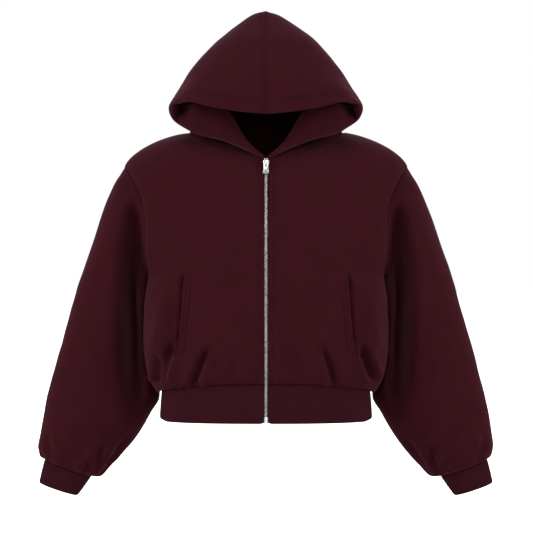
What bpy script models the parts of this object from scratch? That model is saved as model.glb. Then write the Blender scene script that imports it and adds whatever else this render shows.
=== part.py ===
# Zip-up hoodie in heavy fleece, filled out as worn, with no wearer inside.
# The front faces -Y, +Z is up, and +X is the wearer's left. The origin lies between the shoulders,
# at the base of the neck, where a wearer carries the garment.
# Tables are in millimetres and are turned into metres by table(). Every cloth piece is an open surface
# through short tables of sections, given its wall on the inside, and cut 0.3 mm short at its seams.

import math
from collections import defaultdict

import bmesh
import bpy
import numpy as np
from mathutils import Matrix, Vector
from mathutils.bvhtree import BVHTree

MM = 0.001

BODY_WALL = 3.0 * MM
HOOD_WALL = 3.2 * MM  # two layers of fleece
RIB_WALL = 3.4 * MM
RIB_HEIGHT = 1.1 * MM
RIB_PITCH = 5.7 * MM
SEAM_GAP = 0.3 * MM
FRONT_EDGE = 4.0  # half the gap between the two fronts, in which the zip lies, mm

BODY_STEPS = 14  # columns of half a front or back
UNDERARM_ROW = 8
NECK_ROW = 14

# Side seam, from the hem seam to the underarm: the cloth hangs over the rib at the sides.
SIDE_COLUMNS = ("x", "y", "z")
SIDE_ROWS = [
    (197.5, -10, -462),
    (205, -14, -485),
    (219, -18, -466),
    (227, -20, -443),
    (232, -20, -415),
    (233.8, -20, -385),
    (233.5, -18, -348),
    (231, -13, -305),
    (226, 0, -262),
]

# Armhole seam, from the underarm to the shoulder tip, over the front and over the back.
ARMHOLE_COLUMNS = ("x", "y", "z")
ARMHOLE_FRONT = [
    (226, 0, -262),
    (223, -25, -252),
    (221, -43, -230),
    (221, -53, -200),
    (224, -57, -165),
    (231, -56, -130),
    (241, -50, -102),
    (251, -40, -82),
    (260, -27, -68),
    (266, -14, -59),
    (270, -4, -55),
    (272, 5, -53),
]
ARMHOLE_BACK = [
    (226, 0, -262),
    (226, 23, -250),
    (227, 43, -226),
    (229, 56, -195),
    (233, 64, -160),
    (240, 65, -127),
    (249, 60, -100),
    (258, 48, -80),
    (265, 34, -66),
    (270, 20, -57.5),
    (272, 12, -54.5),
    (272, 5, -53),
]

# Centre line of each body row below the neck, and the shape of the row.
# arm is the place on the armhole, 0 at the underarm. full squares the section. fall bends the row
# down towards its outer end. roll lifts a soft ridge beside the armhole seam.
BODY_COLUMNS = ("y", "z", "arm", "full", "fall", "roll")
FRONT_BODY = [
    (-117, -462, 0, 2.5, 2.0, 0),
    (-121.5, -464.5, 0, 2.5, 2.0, 0),
    (-125, -453, 0, 2.5, 2.0, 0),
    (-127, -436, 0, 2.5, 2.0, 0),
    (-128, -412, 0, 2.5, 2.0, 0),
    (-128.5, -383, 0, 2.5, 2.0, 0),
    (-127.5, -345, 0, 2.5, 2.0, 0),
    (-126.5, -300, 0, 2.5, 2.0, 0),
    (-125.5, -258, 0, 2.5, 2.0, 0),
    (-124, -218, 0.10, 2.6, 2.0, 3),
    (-121, -178, 0.20, 2.7, 1.8, 8),
    (-115.5, -140, 0.30, 2.7, 1.7, 9),
    (-108, -106, 0.40, 2.6, 1.6, 7),
    (-99, -74, 0.50, 2.5, 1.55, 4),
    (-90, -44, 0.60, 2.4, 1.55, 2),
]
BACK_BODY = [
    (108, -462, 0, 2.2, 2.0, 0),
    (114, -469, 0, 2.2, 2.0, 0),
    (119, -457, 0, 2.1, 2.0, 0),
    (121, -438, 0, 2.1, 2.0, 0),
    (121, -412, 0, 2.1, 2.0, 0),
    (120, -383, 0, 2.1, 2.0, 0),
    (118, -345, 0, 2.1, 2.0, 0),
    (117, -300, 0, 2.15, 2.0, 0),
    (118, -256, 0, 2.2, 2.0, 0),
    (119, -212, 0.10, 2.3, 2.0, 1),
    (119, -167, 0.20, 2.4, 1.8, 3),
    (116, -122, 0.30, 2.4, 1.7, 5),
    (109, -76, 0.40, 2.4, 1.6, 3),
    (98, -30, 0.50, 2.3, 1.55, 1),
    (84, 12, 0.60, 2.2, 1.55, 0),
]
# The rows that end on the neckline share these.
YOKE_FULL = 2.4
YOKE_FALL = 1.55

# Half the hood, in stations from the zip round to the centre back.
# neck: seam on the body. under: the shaded rise over it. lip: where the cloth sags over the seam.
# cheek: fullest part of the side. edge: the front edge, then, from the corner of the mouth at
# station 4 onwards, the ring round the side and back at the same level.
STATION_COLUMNS = ("x", "y", "z")
NECK_STATIONS = [
    (FRONT_EDGE, -90, -44),
    (48, -83, -33),
    (90, -67, -19),
    (123, -38, -1),
    (147, 5, 13.5),
    (128, 40, 14),
    (96, 66, 14.5),
    (50, 80, 13),
    (0, 84, 12),
]
UNDER_STATIONS = [
    (FRONT_EDGE, -90.3, -41.8),
    (46.5, -81.5, -25.5),
    (86, -57, -8),
    (117, -31, 6),
    (145, 2, 19),
    (126, 37, 22),
    (95, 62, 23),
    (49.5, 76, 22),
    (0, 80, 21),
]
LIP_STATIONS = [
    (FRONT_EDGE, -90.5, -39.4),
    (42, -89.5, -19.5),
    (88, -92, -5),
    (129, -70, 8),
    (150, -24, 20),
    (146, 31, 29),
    (110, 72, 32),
    (57, 92, 32),
    (0, 97, 31),
]
CHEEK_STATIONS = [
    (FRONT_EDGE, -90.7, -37.2),
    (36.5, -91.5, -13.5),
    (82, -99, 20),
    (142, -90, 33),
    (173, -60, 37),
    (167, 14, 45),
    (132, 74, 51),
    (68, 103, 54),
    (0, 111, 55),
]
EDGE_STATIONS = [
    (FRONT_EDGE, -90.8, -35),
    (31, -88.5, -8),
    (72, -80, 49),
    (138, -82, 53),
    (172, -92, 56.5),
    (178, -5, 62),
    (142, 68, 70),
    (75, 108, 77),
    (0, 120, 80),
]
BRIM_STATIONS = [
    (0, -150, 38),
    (55, -146, 43.5),
    (108, -133, 54),
    (149, -115.5, 63.5),
    (172, -92, 56.5),
]
CORNER = 8  # column of the mouth's corner
HOOD_STEPS = 16  # columns of half the hood

# Rings of the hood above its mouth: height and depth at the front, side and back.
# corner is the angle round the ring, in degrees, of the column of the mouth's corner.
CROWN_COLUMNS = ("front_z", "front_y", "side_z", "width", "side_y", "back_z", "back_y", "full", "corner")
CROWN_ROWS = [
    (60, -148, 77, 177.5, -36, 100, 124, 2.4, 62),
    (85, -141, 98, 162.5, -30, 120, 126, 2.3, 70),
    (112, -129, 122, 145, -24, 142, 125, 2.2, 78),
    (140, -111, 148, 128, -16, 165, 120, 2.1, 84),
    (168, -88, 173, 109, -6, 187, 109, 2.0, 88),
    (193, -63, 197, 86.5, 4, 207, 95, 2.0, 90),
    (215, -36, 217, 62, 12, 223, 79, 2.0, 90),
    (233, -12, 234, 38.5, 18, 237, 62, 2.0, 90),
    (244, 4, 244.5, 21, 22, 245, 48, 2.0, 90),
    (249.5, 14, 250, 0, 25, 250, 37, 2.0, 90),
]

# Sleeve rings below the armhole: outer and inner point, and how far the ring stands out in front and behind.
SLEEVE_COLUMNS = ("out_x", "out_y", "out_z", "in_x", "in_y", "in_z", "front", "back", "full")
SLEEVE_ROWS = [
    (284, 7, -73, 229, 6, -272, 70, 74, 2.2),
    (298, 8, -101, 231, 12, -284, 77, 80, 2.2),
    (317, 10, -147, 232, 18, -306, 80, 82, 2.15),
    (334, 11, -195, 232, 24, -336, 78, 80, 2.1),
    (350, 12, -244, 231, 28, -368, 75, 77, 2.1),
    (364, 13, -293, 229, 31, -402, 73, 75, 2.1),
    (378, 14, -344, 225, 34, -436, 71, 73, 2.1),
    (392, 15, -394, 220, 37, -468, 69, 71, 2.1),
    (405, 15, -440, 215, 38, -498, 67, 69, 2.1),
    (418, 14, -488, 222, 36, -524, 65, 66, 2.1),
    (427, 12, -532, 240, 32, -556, 62, 62, 2.1),
    (434, 10, -570, 268, 26, -594, 56, 56, 2.1),
    (437.5, 8, -593, 296, 20, -624, 48, 48, 2.1),
    (433, 6, -606, 319, 14, -645.5, 40, 40, 2.0),
    (425, 5, -612, 336, 10, -646, 31, 31, 2.0),
]

# Ribbed bands. Each starts at the seam of the body or sleeve, so only its lower edge is given:
# the hem's level and how far it widens, and the cuff's last ring.
HEM_LEVEL = -536 * MM
HEM_WIDENING = 1.02
CUFF_END = [(436, 3, -657.4, 362.5, 5, -683.1, 24, 24, 2.0)]
CUFF_RIBS = 40
SLEEVE_CLEAR = 4 * MM
OUTER_PER_INNER = 4  # outer points for each inner point of a ribbed band

# Main folds: soft troughs in the fronts above the hem, wearer's right side first.
FOLD_COLUMNS = ("x1", "z1", "x2", "z2", "width", "depth")
FOLD_ROWS = [
    (-181, -419, -192, -444, 12, 7),
    (-205, -418, -210, -450, 12, 5),
    (-121, -412, -133, -450, 13, 5),
    (108, -408, 124, -450, 13, 5),
    (188, -408, 206, -446, 13, 7),
    (38, -400, 56, -450, 15, 2.5),
]
FOLD_END = -464 * MM
FOLD_SIDE = -26 * MM
FOLD_FADE = 20 * MM

# Welt of the side pocket: its inner line and the line of the slit, from top to bottom.
WELT_COLUMNS = ("z", "inner", "slit", "lift")
WELT_ROWS = [
    (-262, 139.5, 153, 0.0),
    (-290, 142, 155, 0.8),
    (-320, 145, 157, 1.5),
    (-350, 148, 159.5, 1.5),
    (-380, 151, 163, 0.8),
    (-408, 154.5, 167.5, 0.0),
]
WELT_REST = 1.9 * MM
WELT_STEPS = 12
WELT_COLUMNS_ACROSS = 5
WELT_WALL = 2.2 * MM

# The line of the zip, from the hem up. tape_y is how far the tape lies behind the chain's line,
# and tape_x how wide half of it is.
ZIP_COLUMNS = ("y", "z", "tape_y", "tape_x")
ZIP_ROWS = [
    (-117.4, -534.5, 5.6, 15),
    (-117.4, -522.5, 5.6, 15),
    (-117.4, -500, 5.6, 15),
    (-117.8, -472, 6.2, 15),
    (-120.5, -456, 8.6, 15),
    (-125, -438, 6.0, 15),
    (-127.8, -412, 5.4, 15),
    (-128.3, -383, 5.4, 15),
    (-127.5, -345, 5.4, 15),
    (-126.5, -300, 5.4, 15),
    (-125.5, -258, 5.4, 15),
    (-124, -218, 5.4, 15),
    (-121, -178, 5.4, 15),
    (-115.5, -140, 5.4, 15),
    (-108, -106, 5.4, 15),
    (-99, -74, 5.4, 15),
    (-90.5, -45, 5.6, 13),
    (-89.5, -38, 6.2, 6.5),
    (-89, -33.5, 6.4, 3.2),
]
CHAIN_HALF = 2.7
CHAIN_THICKNESS = 2.6
CHAIN_PROUD = 0.4
CHAIN_FROM_ROW = 1
CHAIN_TO_ROW = 16
TAPE_MIDDLE = 0.5
TAPE_THICKNESS = 0.8
STOP_SIZE = (3.1, 3.2, 11.4)
STOP_MIDDLE = 2.05
TOP_STOP_SIZE = (2.2, 2.8, 2.8)
TOP_STOP_MIDDLE = 2.3
TOP_STOP_AT = (-89.6, -41.6)

# Slider and pull tab, in the slider's own frame: x across, u down the slider, v out from its back.
SLIDER_TOP = (-91.6 * MM, -45 * MM)
SLIDER_TILT = math.radians(18)
SLIDER_DEPTH = 5.2 * MM
SLIDER_OUTLINE = [(0.0, 3.6), (1.6, 6.0), (5.5, 6.0), (7.5, 4.9), (20.5, 4.9), (23.0, 5.8), (27.0, 5.8)]
BRIDGE_WIDTH = 2.2
BRIDGE_OUTLINE = [(0.8, -0.5), (12.6, -0.5), (12.6, 3.6), (0.8, 3.6)]
BRIDGE_HOLE = [(2.8, -0.6), (10.6, -0.6), (10.6, 2.4), (2.8, 2.4)]
TAB_PIVOT = 9.2
TAB_LIFT = 1.25
TAB_THICKNESS = 1.2
TAB_OUTLINE = [(8.4, 3.5), (8.8, 4.0), (19.5, 4.0), (22.2, 3.4), (23.2, 2.1)]
TAB_HOLE = (10.0, 15.8, 1.75)
SLIDER_CLEAR = 0.7 * MM


def table(columns, rows, scale=MM, plain=("arm", "full", "fall", "corner")):
    """The columns of a table by name, in metres but for those that are plain numbers."""
    values = np.array(rows, float)
    return {
        name: values[:, i] * (1 if name in plain else scale)
        for i, name in enumerate(columns)
    }


def points_of(rows):
    return np.array(rows, float) * MM


def smooth(points, cuts):
    """Points along a centripetal Catmull-Rom curve: cuts[i] steps between points i and i + 1."""
    points = np.asarray(points, float)
    ends = np.vstack([2 * points[0] - points[1], points, 2 * points[-1] - points[-2]])
    made = [points[0]]
    for i, steps in enumerate(cuts):
        p = ends[i : i + 4]
        gaps = [max(math.sqrt(np.linalg.norm(p[k + 1] - p[k])), 1e-4) for k in range(3)]
        t = np.concatenate([[0], np.cumsum(gaps)])
        for step in range(1, steps + 1):
            at = t[1] + (t[2] - t[1]) * step / steps
            a = [(p[k] * (t[k + 1] - at) + p[k + 1] * (at - t[k])) / (t[k + 1] - t[k]) for k in range(3)]
            b = [(a[k] * (t[k + 2] - at) + a[k + 1] * (at - t[k])) / (t[k + 2] - t[k]) for k in range(2)]
            made.append((b[0] * (t[2] - at) + b[1] * (at - t[1])) / (t[2] - t[1]))
    return np.array(made)


def along(points, fractions):
    """Points at the given shares of the length of a curve through the points."""
    dense = smooth(points, [8] * (len(points) - 1))
    run = np.concatenate([[0], np.cumsum(np.linalg.norm(np.diff(dense, axis=0), axis=1))])
    return np.stack([np.interp(np.asarray(fractions) * run[-1], run, dense[:, k]) for k in range(3)], 1)


def mirrored(points):
    return np.asarray(points) * (-1, 1, 1)


# ---- surfaces -------------------------------------------------------------------------------------


class Cloth:
    """An open surface of four-sided faces, with the normals that its wall is built along."""

    def __init__(self):
        self.points = []
        self.faces = []
        self.found = {}

    def add(self, point):
        key = tuple(np.round(np.asarray(point) / (0.01 * MM)).astype(int))
        if key not in self.found:
            self.found[key] = len(self.points)
            self.points.append(np.asarray(point, float))
        return self.found[key]

    def add_grid(self, grid, flip=False):
        """Faces over a grid of points; flip turns their outer side round."""
        ids = [[self.add(point) for point in row] for row in grid]
        for i in range(len(ids) - 1):
            for j in range(len(ids[0]) - 1):
                face = [ids[i][j], ids[i][j + 1], ids[i + 1][j + 1], ids[i + 1][j]]
                self.faces.append([face[0]] + face[:0:-1] if flip else face)

    def vertex_normals(self):
        points = np.array(self.points)
        normals = np.zeros_like(points)
        for face in self.faces:
            a, b, c, d = points[face]
            normals[face] += np.cross(c - a, d - b)
        return normals / np.linalg.norm(normals, axis=1)[:, None]

    def rim(self):
        """The directed edges that only one face has."""
        edges = {}
        for face in self.faces:
            for a, b in zip(face, face[1:] + face[:1]):
                if edges.pop((b, a), None) is None:
                    edges[(a, b)] = True
        return list(edges)


def inward_directions(cloth, normals):
    """At each point of the rim, the direction along the surface away from its edge."""
    points = np.array(cloth.points)
    along_rim = np.zeros_like(points)
    for a, b in cloth.rim():
        step = points[b] - points[a]
        step /= np.linalg.norm(step)
        along_rim[a] += step
        along_rim[b] += step
    inward = np.cross(normals, along_rim)
    length = np.linalg.norm(inward, axis=1)[:, None]
    return inward / np.maximum(length, 1e-9)


def joined_normals(cloths):
    """Each surface's normals. Where pieces meet at a seam that bends outwards, or is nearly flat,
    they share one normal, so that their walls are mitred and don't run into each other."""
    own = {name: cloth.vertex_normals() for name, cloth in cloths.items()}
    inward = {name: inward_directions(cloth, own[name]) for name, cloth in cloths.items()}
    meeting = defaultdict(list)
    for name, cloth in cloths.items():
        for key, index in cloth.found.items():
            meeting[key].append((name, own[name][index], inward[name][index]))
    joined = {}
    for name, cloth in cloths.items():
        normals = own[name].copy()
        for key, index in cloth.found.items():
            normal, into = own[name][index], inward[name][index]
            total = normal.copy()
            for other, other_normal, other_into in meeting[key]:
                if other == name:
                    continue
                hollow = into @ other_normal + other_into @ normal
                flatness = np.clip((normal @ other_normal - 0.3) / 0.4, 0, 1)
                total += other_normal * (1 if hollow < 0.1 else flatness)
            normals[index] = total / np.linalg.norm(total)
        joined[name] = normals
    return joined


def walled(cloth, outer, inner):
    """Points and faces of a closed wall between two matching layers, with the rim between them.
    Every rim face is split from its lower outer corner, the same way on both sides of a seam."""
    count = len(outer)
    faces = list(cloth.faces)
    faces += [[face[0] + count] + [index + count for index in face[:0:-1]] for face in cloth.faces]
    height = [tuple(point[::-1]) for point in cloth.points]
    for a, b in cloth.rim():
        face = [b, a, a + count, b + count]
        faces.append(face if height[b] < height[a] else face[1:] + face[:1])
    return np.vstack([outer, inner]), faces


def wall(name, cloth, normals, thickness, material):
    """A piece of cloth: the surface, moved in and back by half the gap at its seams, and its wall."""
    inward = inward_directions(cloth, normals)
    at_rim = np.linalg.norm(inward, axis=1)[:, None]
    outer = np.array(cloth.points) + (inward - normals * at_rim) * SEAM_GAP / 2
    points, faces = walled(cloth, outer, outer - normals * thickness)
    return add_object(name, points, faces, material)


def add_object(name, points, faces, material, smooth_shading=True):
    mesh = bpy.data.meshes.new(name)
    mesh.from_pydata([tuple(p) for p in points], [], faces)
    mesh.validate()
    if smooth_shading:
        mesh.shade_smooth()
        mesh.set_sharp_from_angle(angle=math.radians(50))
    mesh.materials.append(material)
    piece = bpy.data.objects.new(name, mesh)
    collection.objects.link(piece)
    return piece


# ---- body -----------------------------------------------------------------------------------------


def body_row(inner, outer, full, fall, roll):
    """Half a body row: a quarter of a superellipse, with a soft ridge near its outer end."""
    turn = np.linspace(0, math.pi / 2, BODY_STEPS + 1)
    across = np.sin(turn) ** (2 / full)
    depth = np.clip(np.cos(turn), 0, 1) ** (2 / full)
    share = turn / (math.pi / 2)
    ridge = share**6 * (1 - share) / 0.0567
    x = inner[0] + (outer[0] - inner[0]) * across + roll * ridge
    y = outer[1] + (inner[1] - outer[1]) * depth
    z = inner[2] + (outer[2] - inner[2]) * (1 - np.clip(1 - across**fall, 0, 1) ** (1 / fall))
    return np.stack([x, y, z], 1)


def neck_points():
    return smooth(points_of(NECK_STATIONS), [2] * (len(NECK_STATIONS) - 1))


def yoke_arms():
    """Places on the armhole of the rows that end on the neckline."""
    return np.linspace(FRONT_BODY[NECK_ROW][2], 1, CORNER + 1)


def half_body(rows, armhole, inner_x, neck):
    """Rows of half the front or back, from the hem seam to the shoulder seam."""
    t = table(BODY_COLUMNS, rows)
    side = points_of(SIDE_ROWS)
    outer_arm = along(points_of(armhole), t["arm"][UNDERARM_ROW:])
    outer = np.vstack([side[:UNDERARM_ROW], outer_arm])
    grid = []
    for i in range(NECK_ROW + 1):
        inner = (inner_x, t["y"][i], t["z"][i])
        grid.append(body_row(inner, outer[i], t["full"][i], t["fall"][i], t["roll"][i]))
    for inner, outer_point in zip(neck[1:], along(points_of(armhole), yoke_arms()[1:])):
        grid.append(body_row(inner, outer_point, YOKE_FULL, YOKE_FALL, 0))
    return np.array(grid)


def folded(points, normals):
    """The fronts' points, pressed level into the garment by the folds above the hem."""
    t = table(FOLD_COLUMNS, FOLD_ROWS)
    depth = np.zeros(len(points))
    for x1, z1, x2, z2, width, deep in zip(*(t[name] for name in FOLD_COLUMNS)):
        start = np.array([x1, z1])
        run = np.array([x2, z2]) - start
        at = points[:, [0, 2]] - start
        share = np.clip(at @ run / (run @ run), 0, 1)
        away = np.linalg.norm(at - share[:, None] * run, axis=1)
        depth += deep * np.exp(-((away / width) ** 2))
    above_seam = np.clip((points[:, 2] - FOLD_END) / FOLD_FADE, 0, 1)
    on_front = np.clip((FOLD_SIDE - points[:, 1]) / FOLD_FADE, 0, 1)
    level = normals * (1, 1, 0)
    level /= np.maximum(np.linalg.norm(level, axis=1), 1e-6)[:, None]
    return points - level * (depth * above_seam * on_front)[:, None]


def make_fronts(neck):
    grid = half_body(FRONT_BODY, ARMHOLE_FRONT, FRONT_EDGE * MM, neck[: CORNER + 1])
    fronts = {}
    for name, sign in (("front_right", -1), ("front_left", 1)):
        flat = Cloth()
        flat.add_grid(grid * (sign, 1, 1), flip=sign < 0)
        fronts[name] = Cloth()
        for point in folded(np.array(flat.points), flat.vertex_normals()):
            fronts[name].add(point)
        fronts[name].faces = flat.faces
    return fronts, grid


def make_back(neck):
    grid = half_body(BACK_BODY, ARMHOLE_BACK, 0.0, neck[: CORNER - 1 : -1])
    back = Cloth()
    back.add_grid(grid, flip=True)
    back.add_grid(mirrored(grid))
    return back, grid


# ---- sleeves --------------------------------------------------------------------------------------


def ring(outer, inner, front, back, full, turns):
    """A tilted oval from its outer point, over the front, to its inner point and over the back."""
    middle = (outer + inner) / 2
    half = (outer - inner) / 2
    c = np.cos(turns)
    s = np.sin(turns)
    reach = np.sign(c) * np.abs(c) ** (2 / full)
    bulge = np.abs(s) ** (2 / full) * np.where(s > 0, -front, back)
    return middle + half * reach[:, None] + np.outer(bulge, (0, 1, 0))


def ring_rows(rows, turns):
    t = table(SLEEVE_COLUMNS, rows)
    made = []
    for i in range(len(rows)):
        outer = np.array([t["out_x"][i], t["out_y"][i], t["out_z"][i]])
        inner = np.array([t["in_x"][i], t["in_y"][i], t["in_z"][i]])
        made.append(ring(outer, inner, t["front"][i], t["back"][i], t["full"][i], turns))
    return made


def clear_of(points, tree, gap):
    """The points, moved sideways where they come nearer to a body panel than the gap."""
    for _ in range(4):
        for i, point in enumerate(points):
            spot, normal = tree.find_nearest(Vector(point))[:2]
            short = gap - (Vector(point) - spot).dot(normal)
            if short > 0 and normal.x > 0.4:
                points[i] = point + np.array((short / normal.x, 0, 0))
    return points


def make_sleeves(front_grid, back_grid):
    """The first ring is the armhole itself, so each ring keeps the points of the body rows."""
    arms = np.concatenate([table(BODY_COLUMNS, FRONT_BODY)["arm"][UNDERARM_ROW:], yoke_arms()[1:]])
    over_front = front_grid[UNDERARM_ROW:, -1][::-1]
    over_back = back_grid[UNDERARM_ROW:, -1][1:]
    armhole = np.vstack([over_front, over_back])
    turns = math.pi * np.concatenate([1 - arms[::-1], 1 + arms[1:]])
    body = Cloth()
    body.add_grid(front_grid)
    body.add_grid(back_grid, flip=True)
    tree = BVHTree.FromPolygons([tuple(p) for p in body.points], body.faces)
    rings = [armhole]
    for i, points in enumerate(ring_rows(SLEEVE_ROWS, turns)):
        rings.append(clear_of(points, tree, SLEEVE_CLEAR * min(1, (i + 1) / 2)))
    grid = np.array(rings)
    grid[:, -1] = grid[:, 0]
    sleeves = {}
    for name, sign in (("sleeve_right", -1), ("sleeve_left", 1)):
        cloth = Cloth()
        cloth.add_grid(grid * (sign, 1, 1), flip=sign < 0)
        sleeves[name] = cloth
    return sleeves, grid[-1], turns


# ---- hood -----------------------------------------------------------------------------------------


def stations(rows):
    return smooth(points_of(rows), [2] * (len(rows) - 1))


def crown_ring(row):
    """Half a ring of the hood above its mouth, from the centre front to the centre back."""
    corner = math.radians(row["corner"])
    turns = np.concatenate(
        [
            np.linspace(0, corner, CORNER + 1),
            np.linspace(corner, math.pi, HOOD_STEPS - CORNER + 1)[1:],
        ]
    )
    power = 2 / row["full"]
    s = np.clip(np.sin(turns), 0, 1) ** power
    c = np.abs(np.cos(turns)) ** power
    ahead = turns < math.pi / 2
    y = row["side_y"] + np.where(ahead, row["front_y"] - row["side_y"], row["back_y"] - row["side_y"]) * c
    rise = np.where(ahead, row["front_z"] - row["side_z"], row["back_z"] - row["side_z"])
    z = row["side_z"] + rise * np.cos(turns) ** 2
    return np.stack([row["width"] * s, y, z], 1)


def make_hood(neck):
    under = stations(UNDER_STATIONS)
    lip = stations(LIP_STATIONS)
    cheek = stations(CHEEK_STATIONS)
    edge = stations(EDGE_STATIONS)
    brim = stations(BRIM_STATIONS)
    t = table(CROWN_COLUMNS, CROWN_ROWS)
    crown = [crown_ring({name: t[name][i] for name in CROWN_COLUMNS}) for i in range(len(CROWN_ROWS))]
    funnel_cuts = [1, 2, 2, 2]
    crown_cuts = [1] * len(crown)
    whole = []
    for j in range(CORNER, HOOD_STEPS + 1):
        column = [neck[j], under[j], lip[j], cheek[j], edge[j]] + [row[j] for row in crown]
        whole.append(smooth(column, funnel_cuts + crown_cuts))
    lower = [smooth([neck[j], under[j], lip[j], cheek[j], edge[j]], funnel_cuts) for j in range(CORNER)]
    upper = [smooth([brim[j]] + [row[j] for row in crown], crown_cuts) for j in range(CORNER)]
    mouth_row = sum(funnel_cuts)
    lower.append(whole[0][: mouth_row + 1])
    upper.append(whole[0][mouth_row:])
    halves = {}
    for name, sign in (("hood_right", -1), ("hood_left", 1)):
        cloth = Cloth()
        for columns in (lower, upper, whole):
            cloth.add_grid(np.array(columns).transpose(1, 0, 2) * (sign, 1, 1), flip=sign < 0)
        halves[name] = cloth
    return halves


# ---- ribbed bands ---------------------------------------------------------------------------------


def even_line(line, count):
    """Evenly spaced points along a line."""
    run = np.concatenate([[0], np.cumsum(np.linalg.norm(np.diff(line, axis=0), axis=1))])
    at = np.linspace(0, run[-1], count + 1)
    return np.stack([np.interp(at, run, line[:, k]) for k in range(3)], 1)


def ribbed(line, closed, axis):
    """The points of a band's edge with every second one sunk, and the plain points inside."""
    ahead = np.roll(line, -1, axis=0)
    behind = np.roll(line, 1, axis=0)
    if not closed:
        ahead[-1] = line[-1]
        behind[0] = line[0]
    across = np.cross(ahead - behind, axis)
    across /= np.linalg.norm(across, axis=1)[:, None]
    sunk = 1 - np.arange(len(line)) % 2
    outer = line - across * (sunk * RIB_HEIGHT)[:, None]
    inner = (line - across * (RIB_HEIGHT + RIB_WALL))[::OUTER_PER_INNER]
    return outer, inner


def band(name, top, bottom, closed, material):
    """A ribbed band between two edges; each edge is its outer and its inner points."""
    rings = [top[0], bottom[0], bottom[1], top[1]]
    starts = np.cumsum([0] + [len(r) for r in rings])
    outer_count = len(top[0])
    inner_count = len(top[1])
    faces = []
    last = outer_count if closed else outer_count - 1
    for i in range(last):
        j = (i + 1) % outer_count
        faces.append([starts[0] + i, starts[1] + i, starts[1] + j, starts[0] + j])
    last_inner = inner_count if closed else inner_count - 1
    for i in range(last_inner):
        j = (i + 1) % inner_count
        faces.append([starts[2] + i, starts[3] + i, starts[3] + j, starts[2] + j])
        span = [(i * OUTER_PER_INNER + k) % outer_count for k in range(OUTER_PER_INNER + 1)]
        faces.append([starts[0] + k for k in span] + [starts[3] + j, starts[3] + i])
        faces.append([starts[1] + k for k in reversed(span)] + [starts[2] + i, starts[2] + j])
    if not closed:
        faces.append([starts[0], starts[3], starts[2], starts[1]])
        end = [outer_count - 1, outer_count - 1, inner_count - 1, inner_count - 1]
        faces.append([starts[k] + end[k] for k in range(4)])
    return add_object(name, np.vstack(rings), faces, material, smooth_shading=False)


def make_hem(front_row, back_row, material):
    """The hem hangs from the body's lowest row, from the left front edge round to the right one."""
    half = np.vstack([front_row, back_row[-2::-1]])
    seam = np.vstack([half, mirrored(half)[-2::-1]]) - (0, 0, SEAM_GAP)
    length = np.linalg.norm(np.diff(seam, axis=0), axis=1).sum()
    count = 2 * round(length / RIB_PITCH)
    count -= count % OUTER_PER_INNER
    top = even_line(seam, count)
    bottom = even_line(seam * (HEM_WIDENING, 1, 0) + (0, 0, HEM_LEVEL), count)
    bottom[[0, -1], 0] = top[[0, -1], 0]
    edges = [ribbed(row, False, (0, 0, 1)) for row in (top, bottom)]
    band("hem_rib", edges[0], edges[1], False, material)


def make_cuffs(seam, seam_turns, material):
    """Each cuff hangs from the last ring of its sleeve."""
    turns = np.linspace(0, 2 * math.pi, 2 * CUFF_RIBS + 1)[:-1]
    top = np.stack([np.interp(turns, seam_turns, seam[:, k]) for k in range(3)], 1)
    bottom = ring_rows(CUFF_END, turns)[0]
    axis = top.mean(0) - bottom.mean(0)
    axis /= np.linalg.norm(axis)
    top -= axis * SEAM_GAP
    for name, sign in (("cuff_right", -1), ("cuff_left", 1)):
        rows = [row * (sign, 1, 1) for row in (top, bottom)]
        if sign > 0:
            rows = [row[::-1] for row in rows]
        edges = [ribbed(row, True, axis * (sign, 1, 1)) for row in rows]
        band(name, edges[0], edges[1], True, material)


# ---- pockets --------------------------------------------------------------------------------------


def make_welt(name, sign, front, material):
    """The pocket's welt lies on the front: its points are the front's own, moved out."""
    tree = BVHTree.FromPolygons([tuple(p) for p in front.points], front.faces)
    t = table(WELT_COLUMNS, WELT_ROWS[::-1])
    heights = np.linspace(t["z"][-1], t["z"][0], WELT_STEPS + 1)
    lower = []
    upper = []
    for z in heights:
        inner, slit, lift = (np.interp(z, t["z"], t[name]) for name in WELT_COLUMNS[1:])
        for share in np.linspace(0, 1, WELT_COLUMNS_ACROSS):
            x = sign * (inner + (slit - inner) * share)
            spot, normal = tree.ray_cast(Vector((x, -1, z)), Vector((0, 1, 0)))[:2]
            if normal.y > 0:
                normal = -normal
            spot = np.array(spot)
            normal = np.array(normal)
            rest = WELT_REST + lift * share
            lower.append(spot + normal * rest)
            upper.append(spot + normal * (rest + WELT_WALL))
    cloth = Cloth()
    cloth.add_grid(np.array(upper).reshape(WELT_STEPS + 1, -1, 3), flip=sign > 0)
    points, faces = walled(cloth, np.array(upper), np.array(lower))
    add_object(name, points, faces, material)


# ---- zip ------------------------------------------------------------------------------------------


def strip(name, rows, thickness, material):
    """A flat strip up the garment: each row is its left and right x, and its front face's y and z."""
    points = []
    for left, right, y, z in rows:
        for x, depth in ((left, 0), (right, 0), (right, thickness), (left, thickness)):
            points.append(Vector((x, y + depth, z)) * MM)
    faces = [[3, 2, 1, 0]]
    for i in range(len(rows) - 1):
        for k in range(4):
            m = (k + 1) % 4
            faces.append([4 * i + m, 4 * i + 4 + m, 4 * i + 4 + k, 4 * i + k])
    last = 4 * (len(rows) - 1)
    faces.append([last, last + 1, last + 2, last + 3])
    return add_object(name, points, faces, material)


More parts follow.
